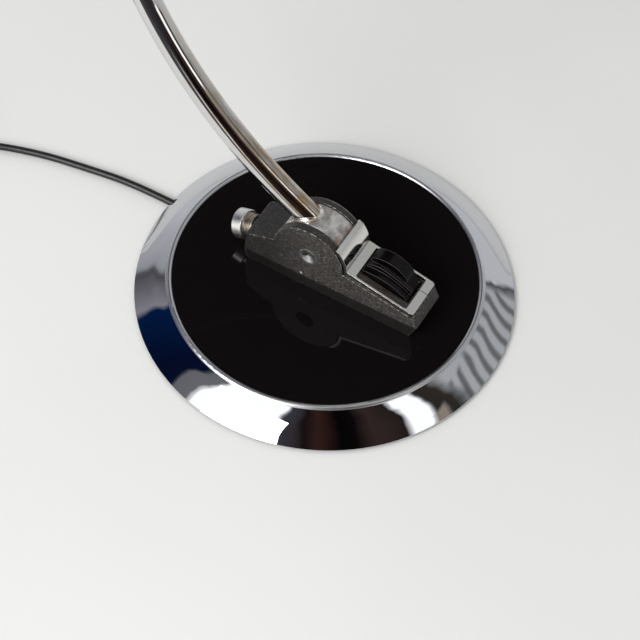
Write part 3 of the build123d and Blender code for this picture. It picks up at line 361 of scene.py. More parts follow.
@dataclass(frozen=True)
class CastDrum:
    """Turned die-cast drum, bright once and now clouded pale grey, with brown flux stains on it."""

    pale: str = "#d3d1cf"
    cloud: str = "#9b9997"
    stain: str = "#8a6040"
    cloud_mm: float = 5.0
    stain_mm: float = 6.5
    turning_mm: float = 0.5

    def build(self) -> bpy.types.Material:
        """Builds the clouding, the stains and the fine turning marks."""
        surface = Surface("cast_drum_clouded", self.pale, Metallic=0.75, Roughness=0.36)
        surface.coat(self.cloud, surface.clouds(self.cloud_mm, 5, (0.38, 0.66)))
        surface.coat(self.stain, surface.clouds(self.stain_mm, 5, (0.53, 0.68), (0.0, 0.75)))
        surface.feed("Roughness", surface.clouds(2.5, 4, (0.3, 0.7), (0.28, 0.5)))
        surface.relief(surface.noise(self.turning_mm, 3, (8.0, 1.0, 1.0)), 0.02, 0.5, 0.3)
        return surface.material


@dataclass(frozen=True)
class BrazedFillet:
    """Brazing metal that ran round the tube's root: lumpy and bright, with burnt brown flux on it."""

    bright: str = "#e8e2da"
    burnt: str = "#9a7350"
    patch_mm: float = 4.0
    lump_mm: float = 2.0

    def build(self) -> bpy.types.Material:
        """Builds the brazing metal, its burnt patches and its lumps."""
        surface = Surface("braze_silver_burnt", self.bright, Metallic=1.0, Roughness=0.2)
        patches = surface.clouds(self.patch_mm, 5, (0.45, 0.65))
        surface.coat(self.burnt, patches)
        surface.feed("Roughness", surface.add("MapRange", (patches, 0.0, 1.0, 0.2, 0.42)))
        surface.relief(surface.noise(self.lump_mm, 3), 0.1, 0.5)
        return surface.material


@dataclass(frozen=True)
class DiscEnamel:
    """Black enamel flowed over sheet: a deep gloss with a little dust."""

    black: str = "#100d0e"
    dust: str = "#2b2a2b"
    dust_mm: float = 0.5
    flow_mm: float = 40.0

    def build(self) -> bpy.types.Material:
        """Builds the enamel, its dust and the slow waves that it dried with."""
        surface = Surface("black_disc_enamel", self.black, Roughness=0.04, Specular_IOR_Level=0.16)
        surface.coat(self.dust, surface.clouds(self.dust_mm, 6, (0.70, 0.78), (0.0, 0.5)))
        surface.feed("Roughness", surface.clouds(8.0, 5, (0.4, 0.7), (0.03, 0.07)))
        surface.relief(surface.noise(self.flow_mm, 1), 0.02, 0.6)
        return surface.material


@dataclass(frozen=True)
class SilveredPlastic:
    """Injection-moulded ABS with a vacuum-plated silver skin: a soft mirror, scuffed on its corners."""

    silver: str = "#dfdcd8"
    scuff: str = "#8a8582"
    seam: str = "#2a2625"
    scuff_mm: float = 1.4
    seam_x: float = 4.0 * MM
    seam_half: float = 0.28 * MM
    front_bar_y: float = -58.9 * MM

    def build(self) -> bpy.types.Material:
        """Builds the silver skin, its scuffs and the dark moulding seam across the front bar."""
        surface = Surface("abs_vacuum_plated", self.silver, Metallic=1.0, Roughness=0.09)
        broken = surface.clouds(self.scuff_mm, 4, (0.5, 0.7))
        surface.coat(self.scuff, surface.add("Math", (surface.edges(0.3), broken), operation="MULTIPLY"))
        aside = surface.along(X_AXIS, X_AXIS * self.seam_x)
        away = surface.add("Math", (aside,), operation="ABSOLUTE")
        narrow = surface.add("MapRange", (away, self.seam_half, self.seam_half * 0.6))
        ahead = surface.along(-Y_AXIS, Y_AXIS * self.front_bar_y)
        on_bar = surface.add("Math", (ahead, 0.0), operation="GREATER_THAN")
        surface.coat(self.seam, surface.add("Math", (narrow, on_bar), operation="MULTIPLY"))
        surface.feed("Roughness", surface.clouds(1.0, 5, (0.35, 0.75), (0.06, 0.16)))
        surface.relief(surface.noise(6.0, 2), 0.02, 0.5, 0.3)
        return surface.material


@dataclass(frozen=True)
class Moulded:
    """Injection-moulded plastic with the fine grain of its mould, and edges that fingers rubbed.

    Where it has a glint tone, its edges on the side that looks to the lamp's left get a painted highlight.
    """

    name: str
    tone: str
    worn: str
    gloss: float = 0.35
    grain_mm: float = 0.35
    streak: Triple = EVEN
    soften_mm: float = 0.3
    sheen: float = 0.5
    # Tone, width and side of a painted highlight on the edges, if it has one
    painted_glint: str = ""
    painted_glint_mm: float = 0.55
    glint_side: Vector = Vector((-0.8, 0.0, 0.6))

    def build(self) -> bpy.types.Material:
        """Builds the plastic, its grain, its rubbed edges and, if it has one, its painted highlight."""
        surface = Surface(self.name, self.tone, Roughness=self.gloss, Specular_IOR_Level=self.sheen)
        surface.coat(self.worn, surface.clouds(4.0, 4, (0.35, 0.75), (0.0, 0.35), self.streak))
        rubbed_and_lit = surface.add("Math", (surface.edges(self.soften_mm), 0.5), operation="MULTIPLY")
        surface.coat(self.worn, rubbed_and_lit)
        # Painted highlight on the edges that look toward the window light
        if self.painted_glint:
            glint_facing = surface.turned(self.glint_side, (0.3, 0.62))
            edge = surface.edges(self.painted_glint_mm)
            surface.coat(self.painted_glint, surface.add("Math", (edge, glint_facing), operation="MULTIPLY"))
        glosses = (self.gloss * 0.8, self.gloss * 1.3)
        surface.feed("Roughness", surface.clouds(1.5, 4, (0.3, 0.7), glosses))
        surface.relief(surface.noise(self.grain_mm, 2), 0.015, 0.4, self.soften_mm)
        return surface.material


@dataclass(frozen=True)
class TurnedAluminium:
    """Bar aluminium turned on a lathe: fine rings round its axis, dulled by handling."""

    tint: str = "#e6e5e3"
    dull: str = "#cfcdca"
    neck: str = "#978c7e"
    neck_end: float = 50.3 * MM
    neck_edge: float = 0.1 * MM
    ring_mm: float = 0.45

    def build(self) -> bpy.types.Material:
        """Builds the turning rings, which run round the brake's axis, and the handling marks."""
        surface = Surface("aluminium_turned", self.tint, Metallic=1.0, Roughness=0.3)
        distance = surface.along(BRAKE_AXIS, PIVOT)
        turn = surface.add("Math", (distance, math.tau / (self.ring_mm * MM)), operation="MULTIPLY")
        rings = surface.add("Math", (turn,), operation="SINE")
        surface.coat(self.dull, surface.clouds(2.5, 5, (0.45, 0.75)))
        neck = (distance, self.neck_end + self.neck_edge, self.neck_end - self.neck_edge)
        surface.coat(self.neck, surface.add("MapRange", neck))
        surface.feed("Roughness", surface.clouds(1.2, 4, (0.3, 0.7), (0.26, 0.36)))
        surface.relief(rings, 0.02, 0.35, 0.35)
        return surface.material


@dataclass(frozen=True)
class Metal:
    """A plain worked metal: its tint, the dull tint that clouds it, and how coarse its surface is."""

    name: str
    tint: str
    dull: str
    gloss: float
    grain_mm: float
    depth_mm: float = 0.02
    metallic: float = 1.0

    def build(self) -> bpy.types.Material:
        """Builds the metal and its grain."""
        surface = Surface(self.name, self.tint, Metallic=self.metallic, Roughness=self.gloss)
        surface.coat(self.dull, surface.clouds(self.grain_mm * 4, 5, (0.4, 0.7)))
        glosses = (self.gloss * 0.8, self.gloss * 1.3)
        surface.feed("Roughness", surface.clouds(self.grain_mm * 2, 4, (0.3, 0.7), glosses))
        surface.relief(surface.noise(self.grain_mm, 4), self.depth_mm, 0.6, 0.3)
        return surface.material


@dataclass(frozen=True)
class ShadeEnamel:
    """Spun shade, sprayed gloss black outside and white inside to throw the light down."""

    black: str = "#100f0f"
    white: str = "#eceae4"
    peel_mm: float = 1.2

    def build(self) -> bpy.types.Material:
        """Builds both coats: faces that look down are white."""
        surface = Surface("shade_enamel_two_coats", self.black, Roughness=0.12)
        surface.coat(self.white, surface.turned(Z_AXIS, (-0.15, -0.2)))
        surface.feed("Roughness", surface.clouds(0.6, 4, (0.3, 0.7), (0.1, 0.17)))
        surface.relief(surface.noise(self.peel_mm, 3), 0.01, 0.35)
        return surface.material


@dataclass(frozen=True)
class OpalSheet:
    """Opal acrylic sheet: milky, slightly see-through, with a satin face."""

    milk: str = "#f3f2ec"
    thin: str = "#e2e0d8"
    scatter: Triple = (4.0 * MM, 4.0 * MM, 4.0 * MM)

    def build(self) -> bpy.types.Material:
        """Builds the milky sheet."""
        surface = Surface(
            "acrylic_opal_sheet",
            self.milk,
            Roughness=0.32,
            Subsurface_Weight=0.4,
            Subsurface_Radius=self.scatter,
            Transmission_Weight=0.15,
        )
        surface.coat(self.thin, surface.clouds(30.0, 2, (0.3, 0.7), (0.0, 0.2)))
        surface.relief(surface.noise(0.4, 2), 0.01, 0.3)
        return surface.material


@dataclass(frozen=True)
class FrostedGlass:
    """Blown glass etched white inside: soft and milky."""

    white: str = "#f6f5f1"
    thin: str = "#e9e8e2"

    def build(self) -> bpy.types.Material:
        """Builds the frosted glass."""
        surface = Surface(
            "glass_etched_white",
            self.white,
            Roughness=0.35,
            Transmission_Weight=0.35,
            Subsurface_Weight=0.2,
            IOR=1.5,
        )
        surface.coat(self.thin, surface.clouds(6.0, 2, (0.3, 0.7)))
        return surface.material


@dataclass(frozen=True)
class PressedFelt:
    """Pressed wool felt: dull, with short fibres lying every way."""

    tone: str = "#2c2c2e"
    fibre: str = "#4a494b"
    fibre_mm: float = 0.4

    def build(self) -> bpy.types.Material:
        """Builds the felt and its fibres."""
        surface = Surface("felt_pressed_wool", self.tone, Roughness=0.95, Sheen_Weight=0.4)
        surface.coat(self.fibre, surface.noise(self.fibre_mm, 8, (3.0, 1.0, 1.0)))
        surface.relief(surface.noise(0.35, 6), 0.2, 0.8)
        return surface.material


class Finishes(Enum):
    """The finishes of the lamp's pieces."""

    HOUSING = HammeredEnamel()
    RING = ChromePlate("chrome_plate_spun", spin_mm=18.9)
    TRIM = ChromePlate("chrome_plate_trim", "#dddee1")
    FITTING = ChromePlate("chrome_plate_small_parts", "#cfcfd2", 0.08, 12.0, 0.01, 0.3)
    TUBE = TarnishedTube()
    DRUM = CastDrum()
    BRAZE = BrazedFillet()
    DISC = DiscEnamel()
    BEZEL = SilveredPlastic()
    # Smooth black ABS, rubbed a little grey where fingers press, with a painted highlight on its edges that
    # look to the left
    ROCKER = Moulded("abs_moulded_black", "#070506", "#141112", 0.2, 0.6, sheen=0.2, painted_glint="#5a5452")
    # Phenolic, moulded brown-black, with flow lines along the switch
    SWITCH = Moulded("phenolic_moulded_brown", "#2a2220", "#756860", 0.2, 0.3, (5.0, 1.0, 1.0))
    KNOB = TurnedAluminium()
    # Nickel-plated steel, turned and a little dulled
    SCREW = Metal("steel_nickel_plated", "#d2d1cf", "#a8a49e", 0.36, 0.4, 0.01)
    # Nickel worn through to the brass on the threads
    THREAD = Metal("brass_nickel_worn", "#b3aca0", "#857a68", 0.3, 0.6)
    # Zinc-plated steel, slightly grey and fine-grained
    STEEL = Metal("steel_zinc_plated", "#a9aaad", "#86878b", 0.34, 0.4)
    # Grey cast iron as it left the sand: dull and coarse
    IRON = Metal("iron_sand_cast", "#4a4846", "#2f2d2c", 0.62, 1.2, 0.25, 0.7)
    # Drawn brass, yellow and fairly bright
    BRASS = Metal("brass_drawn", "#c2a05a", "#94763c", 0.28, 0.5)
    # Pressed aluminium: pale, with a satin gloss
    CAP = Metal("aluminium_pressed", "#c9c9cc", "#a3a3a6", 0.3, 0.5)
    # Vulcanised fibre, brown and dull
    FIBRE = Moulded("vulcanised_fibre", "#5d3d2c", "#7a573f", 0.6)
    # Phenolic, moulded black, with the gloss of its mould
    PHENOLIC = Moulded("phenolic_moulded_black", "#171616", "#2f2d2c", 0.3)
    # Flexible PVC, smooth and faintly glossy, with the ripple of extrusion
    CORD = Moulded("pvc_extruded_black", "#101011", "#262627", 0.36, 0.5, soften_mm=0.1)
    # Moulded rubber, matt and slightly greyed
    RUBBER = Moulded("rubber_moulded_black", "#141414", "#2a2a2a", 0.55)
    # Hard PVC, moulded on to the cord's end, with a satin gloss
    PLUG = Moulded("pvc_moulded_black", "#131313", "#2a2a2a", 0.4)
    SHADE = ShadeEnamel()
    OPAL = OpalSheet()
    BULB = FrostedGlass()
    FELT = PressedFelt()


class Workshop:
    """Makes each material once and dresses pieces with it."""

    def __init__(self) -> None:
        """Starts with no material made."""
        self.made: dict[Finishes, bpy.types.Material] = {}

    def material(self, finish: Finishes) -> bpy.types.Material:
        """Returns the material of a finish, made the first time that it is asked for."""
        if finish not in self.made:
            self.made[finish] = finish.value.build()
        return self.made[finish]

    def dress(self, piece: bpy.types.Object, finish: Finishes) -> None:
        """Gives a piece one finish all over."""
        piece.data.materials.clear()
        piece.data.materials.append(self.material(finish))
        LOG.info("%s: %s", piece.name, self.material(finish).name)


@dataclass
class Assembly:
    """A group of the lamp's pieces with their finishes, and the pieces that shiny parts don't mirror."""

    finishes: dict[str, Finishes] = field(default_factory=dict)
    unmirrored: tuple[str, ...] = ()

    def build(self, workshop: Workshop) -> None:
        """Dresses the pieces."""
        for name, finish in self.finishes.items():
            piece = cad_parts[name]
            workshop.dress(piece, finish)
            if name in self.unmirrored:
                piece.visible_glossy = False


@dataclass
class Foot(Assembly):
    """The weighted foot: chrome ring, black disc, iron ballast and felt."""

    finishes: dict[str, Finishes] = field(
        default_factory=lambda: {
            "base_ring": Finishes.RING,
            "base_disc": Finishes.DISC,
            "ballast": Finishes.IRON,
            "felt_pad": Finishes.FELT,
            "housing_screws": Finishes.STEEL,
            "cord_clamp": Finishes.PHENOLIC,
            "clamp_screws": Finishes.STEEL,
            "cord_grommet": Finishes.RUBBER,
            "switch_lead": Finishes.RUBBER,
            "arm_feed_lead": Finishes.RUBBER,
        }
    )


@dataclass
class Hinge(Assembly):
    """The hinge housing with its pivot, brake and rocker switch."""

    finishes: dict[str, Finishes] = field(
        default_factory=lambda: {
            "hinge_housing": Finishes.HOUSING,
            "pivot_screw": Finishes.SCREW,
            "pivot_nut": Finishes.STEEL,
            "friction_washers": Finishes.FIBRE,
            "brake_shoe": Finishes.BRASS,
            "brake_screw": Finishes.THREAD,
            "brake_knob": Finishes.KNOB,
            "switch_bezel": Finishes.BEZEL,
            "switch_body": Finishes.SWITCH,
            "rocker": Finishes.ROCKER,
            "rocker_pin": Finishes.STEEL,
            "switch_terminals": Finishes.BRASS,
        }
    )
    unmirrored: tuple[str, ...] = ("pivot_screw",)


@dataclass
class Arm(Assembly):
    """The tube arm with its drum and knuckle, and the braze that joins tube and drum."""

    finishes: dict[str, Finishes] = field(
        default_factory=lambda: {
            "arm_drum": Finishes.DRUM,
            "arm_tube": Finishes.TUBE,
            "arm_knuckle": Finishes.FITTING,
            "arm_lead": Finishes.RUBBER,
        }
    )
    unmirrored: tuple[str, ...] = ("arm_tube",)

    braze_height: float = 2.4 * MM
    braze_reach: float = 1.8 * MM
    braze_edge_x: float = 8.2 * MM
    braze_sunk: float = 0.5 * MM
    sides: int = 72
    steps: int = 7

    def braze_section(self, turn: float) -> list[Vector]:
        """Outline of the brazing metal at a turn round the tube.

        Args:
            turn: angle round the tube, from the sideways direction, in radians.

        Returns:
            A hollow curve from the tube's wall to the drum's, and a corner sunk below both.
        """
        along = Vector((0.0, math.cos(ARM_ROOT_ANGLE), math.sin(ARM_ROOT_ANGLE)))
        above = Vector((0.0, -math.sin(ARM_ROOT_ANGLE), math.cos(ARM_ROOT_ANGLE)))
        outward = X_AXIS * math.cos(turn) + above * math.sin(turn)
        height = ARM_ROOT_OFFSET + TUBE_RADIUS * math.sin(turn)
        depth = math.sqrt(DRUM_RADIUS**2 - height**2)
        joint = X_AXIS * TUBE_RADIUS * math.cos(turn) + above * height + along * depth
        radial = (above * height + along * depth).normalized()
        flat = (outward - radial * outward.dot(radial)).normalized()
        # The metal ran unevenly, five times further out and three times higher in a turn
        reach = self.braze_reach * (1.0 + 0.25 * math.sin(5 * turn + 1.0))
        if abs(flat.x) > 0.01:
            reach = min(reach, (self.braze_edge_x - abs(joint.x)) / abs(flat.x))
        rise = self.braze_height * (1.0 + 0.2 * math.sin(3 * turn + 0.5))
        points = []
        for step in range(self.steps):
            swing = math.pi / 2 * step / (self.steps - 1)
            point = joint + along * rise * (1 - math.sin(swing)) + flat * reach * (1 - math.cos(swing))
            across = Vector((0.0, point.y, point.z))
            if across.length < DRUM_RADIUS:
                point += across.normalized() * (DRUM_RADIUS - across.length)
            points.append(PIVOT + point)
        points.append(PIVOT + joint - (radial + outward) * self.braze_sunk)
        return points

    def run_braze(self, workshop: Workshop) -> None:
        """Runs the brazing metal round the tube's root."""
        turns = [math.tau * side / self.sides for side in range(self.sides)]
        verts = [point for turn in turns for point in self.braze_section(turn)]
        ring = self.steps + 1
        faces = []
        for side in range(self.sides):
            here, there = side * ring, (side + 1) % self.sides * ring
            for step in range(ring):
                after = (step + 1) % ring
                faces.append((here + step, there + step, there + after, here + after))
        mesh = bpy.data.meshes.new("braze")
        mesh.from_pydata(verts, [], faces)
        mesh.polygons.foreach_set("use_smooth", [True] * len(faces))
        braze = bpy.data.objects.new("braze", mesh)
        bpy.context.scene.collection.objects.link(braze)
        workshop.dress(braze, Finishes.BRAZE)
        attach(braze, "arm")

    def build(self, workshop: Workshop) -> None:
        """Dresses the arm and runs the braze."""
        super().build(workshop)
        self.run_braze(workshop)


@dataclass
class Head(Assembly):
    """The shade with its yoke, lamp and diffuser."""

    finishes: dict[str, Finishes] = field(
        default_factory=lambda: {
            "head_yoke": Finishes.FITTING,
            "tilt_screw": Finishes.FITTING,
            "tilt_nut": Finishes.FITTING,
            "head_cap": Finishes.FITTING,
            "shade": Finishes.SHADE,
            "trim_ring": Finishes.TRIM,
            "diffuser": Finishes.OPAL,
            "diffuser_screws": Finishes.FITTING,
            "lamp_bracket": Finishes.STEEL,
            "stem_nut": Finishes.STEEL,
            "lampholder": Finishes.PHENOLIC,
            "holder_screw": Finishes.STEEL,
            "bulb": Finishes.BULB,
            "bulb_cap": Finishes.CAP,
        }
    )


@dataclass
class MainsCord(Assembly):
    """The round mains cord: from its clamp, out of the foot, into a tied coil and on to its plug.

    Its places are in millimetres, as the solids' are, and its diameter and length in metres; its length is
    not used.
    """

    finishes: dict[str, Finishes] = field(
        default_factory=lambda: {
            "cord_tie": Finishes.RUBBER,
            "plug_relief": Finishes.RUBBER,
            "plug_body": Finishes.PLUG,
            "plug_pins": Finishes.BRASS,
        }
    )

    diameter: float = 4.4 * MM
    length: float = 1.72
    exit_x: float = 7.0
    exit_height: float = 4.2
    start_y: float = 50.0
    floor_height: float = 2.25
    coil_centre: Vector = field(default_factory=lambda: Vector((-13.3, 290.0, 0.0)))
    coil_angle: float = 220.0
    coil_outer: float = 36.0
    coil_pitch: float = 5.1
    coil_half_turns: int = 9
    coil_low: float = 3.5
    last_run: float = 32.0
    points_per_half_turn: int = 8
    plug_height: float = 6.9
    tail_runs: Triple = (35.6, 36.0, 34.0)
    tail_turn: float = 45.0

    def half_turn(self, offset: float, radius: float, side: int, low: float, high: float) -> list[Vector]:
        """Control points of one half turn of the coil.

        Args:
            offset: where the half turn starts, on the line through the coil's centre, in millimetres.
            radius: its radius.
            side: 1 for the half turn on the far side of that line and -1 for the other.
            low: its height at its start.
            high: its height at its end.

        Returns:
            The corners of the many-sided figure that the arc touches.
        """
        outward = towards(self.coil_angle)
        along = towards(self.coil_angle - 90.0)
        centre = self.coil_centre + outward * (offset - side * radius)
        step = math.pi / self.points_per_half_turn
        reach = radius / math.cos(step / 2)
        points = []
        for index in range(self.points_per_half_turn):
            turn = (index + 0.5) * step
            share = (index + 0.5) / self.points_per_half_turn
            rise = share * share * (3 - 2 * share)
            ahead = outward * (side * reach * math.cos(turn)) + along * (side * reach * math.sin(turn))
            points.append(centre + ahead + Z_AXIS * (low + (high - low) * rise))
        return points

    def coil(self) -> tuple[list[Vector], float]:
        """Control points of the coil: inwards on the floor, up a layer, and outwards again.

        Returns:
            The points, and where the last half turn ends on the line through the coil's centre.
        """
        top = self.coil_low + self.coil_pitch
        inwards = [(turn, self.coil_low, self.coil_low) for turn in range(self.coil_half_turns)]
        climb = [(self.coil_half_turns, self.coil_low, top)]
        outwards = [(turn, top, top) for turn in range(self.coil_half_turns - 1, 0, -1)]
        points = []
        offset = self.coil_outer
        side = 1
        for turn, low, high in inwards + climb + outwards:
            radius = self.coil_outer - turn * self.coil_pitch / 2
            points += self.half_turn(offset, radius, side, low, high)
            offset -= 2 * side * radius
            side = -side
        return points, offset

    def route(self) -> list[Vector]:
        """Control points of the whole cord, in millimetres."""
        outward = towards(self.coil_angle)
        along = towards(self.coil_angle - 90.0)
        overlap = along * (self.diameter / MM)
        entry = self.coil_centre + outward * self.coil_outer + Z_AXIS * self.coil_low - overlap
        points = [
            Vector((self.exit_x, self.start_y, self.exit_height)),
            Vector((6.9, 66.0, self.exit_height)),
            Vector((6.9, 84.0, self.floor_height)),
            Vector((7.2, 139.0, self.floor_height)),
            Vector((2.4, 170.0, self.floor_height)),
            Vector((-3.6, 203.0, self.floor_height)),
            entry - along * self.last_run,
            entry,
        ]
        turns, offset = self.coil()
        top = Z_AXIS * (self.coil_low + self.coil_pitch)
        leave = self.coil_centre + outward * offset + top + overlap
        first = leave + along * self.tail_runs[0]
        second = first + towards(self.coil_angle - 90.0 - self.tail_turn) * self.tail_runs[1]
        second.z = self.plug_height
        plug = second + towards(self.coil_angle - 90.0 - 2 * self.tail_turn) * self.tail_runs[2]
        return points + turns + [leave, first, second, plug]

    def build(self, workshop: Workshop) -> None:
        """Lays the cord and dresses it with the pieces on it."""
        curve = bpy.data.curves.new("mains_flex", "CURVE")
        curve.dimensions = "3D"
        curve.resolution_u = 6
        curve.bevel_depth = self.diameter / 2
        curve.bevel_resolution = 5
        curve.use_fill_caps = True
        spline = curve.splines.new("NURBS")
        points = self.route()
        spline.points.add(len(points) - 1)
        for point, place in zip(spline.points, points):
            point.co = (*(place * MM), 1.0)
        spline.order_u = 3
        spline.use_endpoint_u = True
        cord = bpy.data.objects.new("mains_flex", curve)
        bpy.context.scene.collection.objects.link(cord)
        workshop.dress(cord, Finishes.CORD)
        cord.visible_glossy = False
        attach(cord, "base")
        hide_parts("mains_cord", "cord_coil", "cord_tail")
        super().build(workshop)


@dataclass(frozen=True)
class Patch:
    """A round board overhead: its middle's bearing and height, its half width and soft edge, in degrees."""

    tone: str
    bearing: float
    height: float
    spread: float
    edge: float


@dataclass(frozen=True)
class Panel:
    """An upright board: the bearings and heights that it spans, and its soft edges, in degrees."""

    tone: str
    bearings: Pair
    heights: Pair
    bearing_edge: float
    height_edge: float


class Surroundings(NodeWork):
    """What stands round the lamp: an even light for matt parts, and boards for shiny parts to mirror."""

    light_tone: str = "#f5f5f4"
    # A slatted board, which the foot's ring mirrors as ripples, and a buff one beside it
    slatted: Panel = Panel("#4c4d4c", (-72.0, -24.0), (5.0, 39.0), 2.88, 2.0)
    buff: Panel = Panel("#a2988b", (-108.0, -80.0), (16.0, 34.5), 1.44, 0.7)
    # A grey board over the switch, and a dark one, which the flat disc mirrors
    grey_above: Patch = Patch("#b0b3b3", -5.0, 66.0, 24.0, 5.0)
    dark_above: Patch = Patch("#161415", 38.0, 50.0, 19.0, 2.0)
    slat_pitch: float = 9.0
    slat_slant: float = 0.8
    slat_bend: float = 4.0
    slat_shade: float = 0.75
    edge_wobble: float = 0.02
    white_gain: float = 1.6
    # Bearings in degrees at which the boards start, end or change, each with the tone there
    boards: tuple[tuple[float, str], ...] = (
        # White
        (-180.0, "#ffffff"),
        (-176.0, "#ffffff"),
        # Dark, brown and black
        (-174.0, "#44444e"),
        (-163.0, "#3a3438"),
        (-158.0, "#1a1413"),
        (-150.0, "#3a2520"),
        (-138.0, "#0a080a"),
        (-128.0, "#0d0a0b"),
        (-118.0, "#3d2f2d"),
        (-104.0, "#2a2422"),
        # White, narrow
        (-101.0, "#ffffff"),
        (-86.0, "#ffffff"),
        # Dark
        (-84.0, "#34302e"),
        (-74.0, "#37332f"),
        # Grey, with a gap at its end
        (-68.0, "#c2c4c6"),
        (-24.2, "#bfc1c3"),
        (-23.6, "#5b5c60"),
        (-22.4, "#5b5c60"),
        # Pale grey, shaded where it ends
        (-21.8, "#d5d6da"),
        (60.0, "#d5d6da"),
        (78.0, "#a9aaaf"),
        (80.5, "#515055"),
        (93.0, "#98969e"),
        # Dark blue
        (95.0, "#03204a"),
        (118.0, "#06102c"),
        (127.5, "#0a1430"),
        # Grey, narrow
        (129.0, "#77777b"),
        (137.0, "#7d7d81"),
        # White
        (138.0, "#ffffff"),
        (180.0, "#ffffff"),
    )

    def __init__(self, world: bpy.types.World, strength: float) -> None:
        """Takes the world to fill and the strength of its even light."""
        world.use_nodes = True
        super().__init__(world.node_tree)
        self.strength = strength
        self.direction = self.add("TexCoord", output="Generated")
        split = self.add("SeparateXYZ", (self.direction,)).node.outputs
        round_angle = self.add("Math", (split["Y"], split["X"]), operation="ARCTAN2")
        self.bearing = self.add("MapRange", (round_angle, -math.pi, math.pi))
        self.height = self.add("Math", (split["Z"],), operation="ARCSINE")
        self.wobble = self.add("TexNoise", {"Vector": self.direction, "Scale": 3.0, "Detail": 2.0})

    def share(self, angle: float) -> float:
        """Turns a bearing in degrees into a share of the round, from nought at the back to one."""
        return (angle + 180.0) / 360.0

    def stand_boards(self) -> None:
        """Stands the boards round the lamp, with edges that are not quite straight."""
        shift = self.add("MapRange", (self.wobble, 0.0, 1.0, -self.edge_wobble, self.edge_wobble))
        wavy = self.add("Math", (self.bearing, shift), operation="ADD")
        self.colour = self.add("ValToRGB", (wavy,))
        stops = self.colour.node.color_ramp.elements
        while len(stops) < len(self.boards):
            stops.new(0.5)
        for stop, (angle, tone) in zip(stops, self.boards):
            stop.position = self.share(angle)
            stop.color = linear(tone)

    def between(self, value: Socket, low: float, high: float, edge: float) -> Socket:
        """One where a value lies between two others, and nought beyond, with soft edges."""
        rise = self.add("MapRange", (value, low - edge, low + edge))
        fall = self.add("MapRange", (value, high + edge, high - edge))
        return self.add("Math", (rise, fall), operation="MULTIPLY")

    def panel(self, panel: Panel) -> Socket:
        """One inside an upright board and nought outside it."""
        low, high = (math.radians(angle) for angle in panel.heights)
        left, right = (self.share(angle) for angle in panel.bearings)
        upright = self.between(self.height, low, high, math.radians(panel.height_edge))
        sideways = self.between(self.bearing, left, right, panel.bearing_edge / 360.0)
        return self.add("Math", (upright, sideways), operation="MULTIPLY")

    def slats(self) -> Socket:
        """Share of shade on the slatted board: its slats lean and waver."""
        turned = self.add("Math", (self.bearing, math.tau), operation="MULTIPLY")
        lean = self.add("Math", (self.height, self.slat_slant), operation="MULTIPLY")
        aslant = self.add("Math", (turned, lean), operation="SUBTRACT")
        pitch = math.tau / math.radians(self.slat_pitch)
        steps = self.add("Math", (aslant, pitch), operation="MULTIPLY")
        bend = self.add("Math", (self.wobble, self.slat_bend), operation="MULTIPLY")
        phase = self.add("Math", (steps, bend), operation="ADD")
        stripe = self.add("MapRange", (self.add("Math", (phase,), operation="SINE"), -0.5, 0.9))
        inside = self.add("Math", (stripe, self.panel(self.slatted)), operation="MULTIPLY")
        return self.add("Math", (inside, self.slat_shade), operation="MULTIPLY")

    def patch(self, patch: Patch) -> Socket:
        """One inside a round board and nought outside it."""
        height = math.radians(patch.height)
        middle = towards(patch.bearing) * math.cos(height) + Z_AXIS * math.sin(height)
        nearness = self.add("VectorMath", (self.direction, middle), "Value", operation="DOT_PRODUCT")
        outer = math.cos(math.radians(patch.spread + patch.edge))
        inner = math.cos(math.radians(patch.spread - patch.edge))
        return self.add("MapRange", (nearness, outer, inner))

    def build(self) -> None:
        """Sets the light and the boards up, and lets only mirrored rays see the boards."""
        self.stand_boards()
        self.coat(self.slatted.tone, self.slats())
        self.coat(self.buff.tone, self.panel(self.buff))
        self.coat(self.grey_above.tone, self.patch(self.grey_above))
        self.coat(self.dark_above.tone, self.patch(self.dark_above))
        # The white boards are brighter than anything that a picture can show as white
        grey = self.add("RGBToBW", (self.colour,))
        gain = self.add("MapRange", (grey, 0.9, 1.0, 1.0, self.white_gain))
        boards = self.add("Background", {"Color": self.colour, "Strength": gain})
        even = self.add("Background", {"Color": self.light_tone, "Strength": self.strength})
        mirrored = self.add("LightPath", output="Is Glossy Ray")
        seen = self.add("MixShader", (mirrored, even, boards))
        end = self.tree.nodes.new("ShaderNodeOutputWorld")
        self.tree.links.new(seen, end.inputs["Surface"])


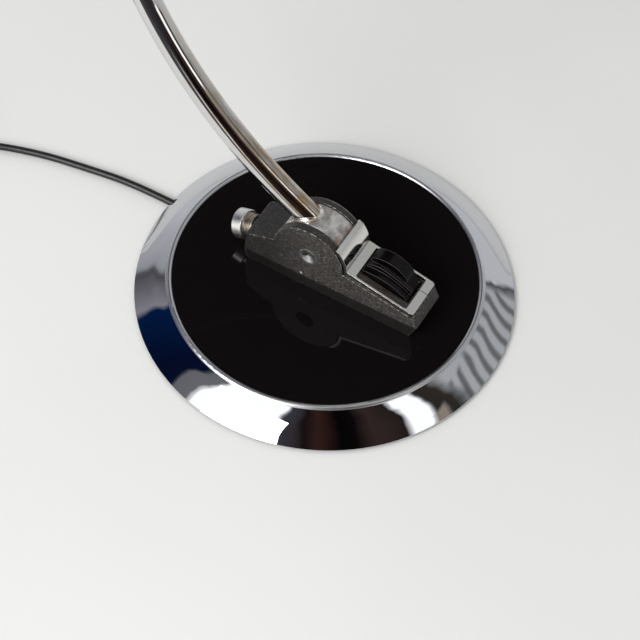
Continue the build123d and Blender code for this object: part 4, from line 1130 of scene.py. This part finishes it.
@dataclass
class Studio:
    """The pale floor, the soft light, what stands round the lamp, and the camera."""

    floor_tone: str = "#eaeae9"
    floor_cloud: str = "#e5e5e4"
    floor_cloud_mm: float = 300.0
    floor_size: float = 8.0
    floor_drop: float = 0.2 * MM
    dark_tone: str = "#2b292f"
    dark_near: float = 0.285
    dark_far: float = 0.62
    dark_side: Vector = field(default_factory=lambda: Vector((-0.41, 0.91, 0.0)))
    near_edge: float = 0.02
    far_edge: float = 0.1
    side_edge: float = 0.05
    sky_strength: float = 0.67
    key_energy: float = 24.0
    key_width: float = 1.1
    key_height: float = 0.9
    key_place: Vector = field(default_factory=lambda: Vector((-1.45, 0.36, 1.2)))
    eye: Vector = field(default_factory=lambda: Vector((-0.68327, -0.35491, 1.05232)))
    right: Vector = field(default_factory=lambda: Vector((0.50560, -0.86206, 0.03491)))
    upward: Vector = field(default_factory=lambda: Vector((0.69295, 0.42986, 0.57883)))
    lens: float = 123.75

    def lay_floor(self) -> None:
        """Lays the pale floor; what mirrors it sees a dark strip some way to the lamp's left."""
        mesh = bpy.data.meshes.new("floor")
        half = self.floor_size / 2
        corners = [(-half, -half), (half, -half), (half, half), (-half, half)]
        mesh.from_pydata([(x, y, -self.floor_drop) for x, y in corners], [], [(0, 1, 2, 3)])
        floor = bpy.data.objects.new("floor", mesh)
        bpy.context.scene.collection.objects.link(floor)
        surface = Surface("floor_matt_white", self.floor_tone, Roughness=0.6, Specular_IOR_Level=0.2)
        surface.coat(self.floor_cloud, surface.clouds(self.floor_cloud_mm, 2, (0.3, 0.7)))
        start = surface.fade(-X_AXIS, -X_AXIS * self.dark_near, (0.0, self.near_edge))
        past = surface.fade(-X_AXIS, -X_AXIS * self.dark_far, (0.0, self.far_edge))
        aside = surface.fade(self.dark_side, ORIGIN, (0.0, self.side_edge))
        cleared = surface.add("Math", (past, aside), operation="MULTIPLY")
        strip = surface.add("Math", (start, cleared), operation="SUBTRACT")
        mirrored = surface.add("LightPath", output="Is Glossy Ray")
        surface.coat(self.dark_tone, surface.add("Math", (mirrored, strip), operation="MULTIPLY"))
        mesh.materials.append(surface.material)

    def hang_key(self) -> None:
        """Hangs one large soft lamp on the left."""
        data = bpy.data.lights.new("window_light", "AREA")
        data.shape = "RECTANGLE"
        data.size = self.key_width
        data.size_y = self.key_height
        data.energy = self.key_energy
        lamp = bpy.data.objects.new("window_light", data)
        lamp.location = self.key_place
        lamp.rotation_mode = "QUATERNION"
        lamp.rotation_quaternion = (-self.key_place).to_track_quat("-Z", "Y")
        bpy.context.scene.collection.objects.link(lamp)

    def set_camera(self) -> None:
        """Sets the camera at the photograph's place and angle."""
        data = bpy.data.cameras.new("camera")
        data.sensor_width = 36.0
        data.lens = self.lens
        data.clip_start = 0.01
        data.clip_end = 50.0
        camera = bpy.data.objects.new("camera", data)
        back = self.right.cross(self.upward).normalized()
        turn = Matrix((self.right.normalized(), self.upward.normalized(), back)).transposed()
        camera.matrix_world = Matrix.Translation(self.eye) @ turn.to_4x4()
        bpy.context.scene.collection.objects.link(camera)
        bpy.context.scene.camera = camera

    def build(self) -> None:
        """Builds the studio."""
        bpy.context.scene.view_settings.view_transform = "Standard"
        self.lay_floor()
        world = bpy.data.worlds.new("studio")
        bpy.context.scene.world = world
        Surroundings(world, self.sky_strength).build()
        self.hang_key()
        self.set_camera()


def main() -> None:
    """Builds the lamp's looks in order."""
    logging.basicConfig(level=logging.INFO, format="%(message)s")
    workshop = Workshop()
    Studio().build()
    for assembly in (MainsCord(), Foot(), Hinge(), Arm(), Head()):
        LOG.info("%s", type(assembly).__name__)
        assembly.build(workshop)


if __name__ == "__main__":
    main()
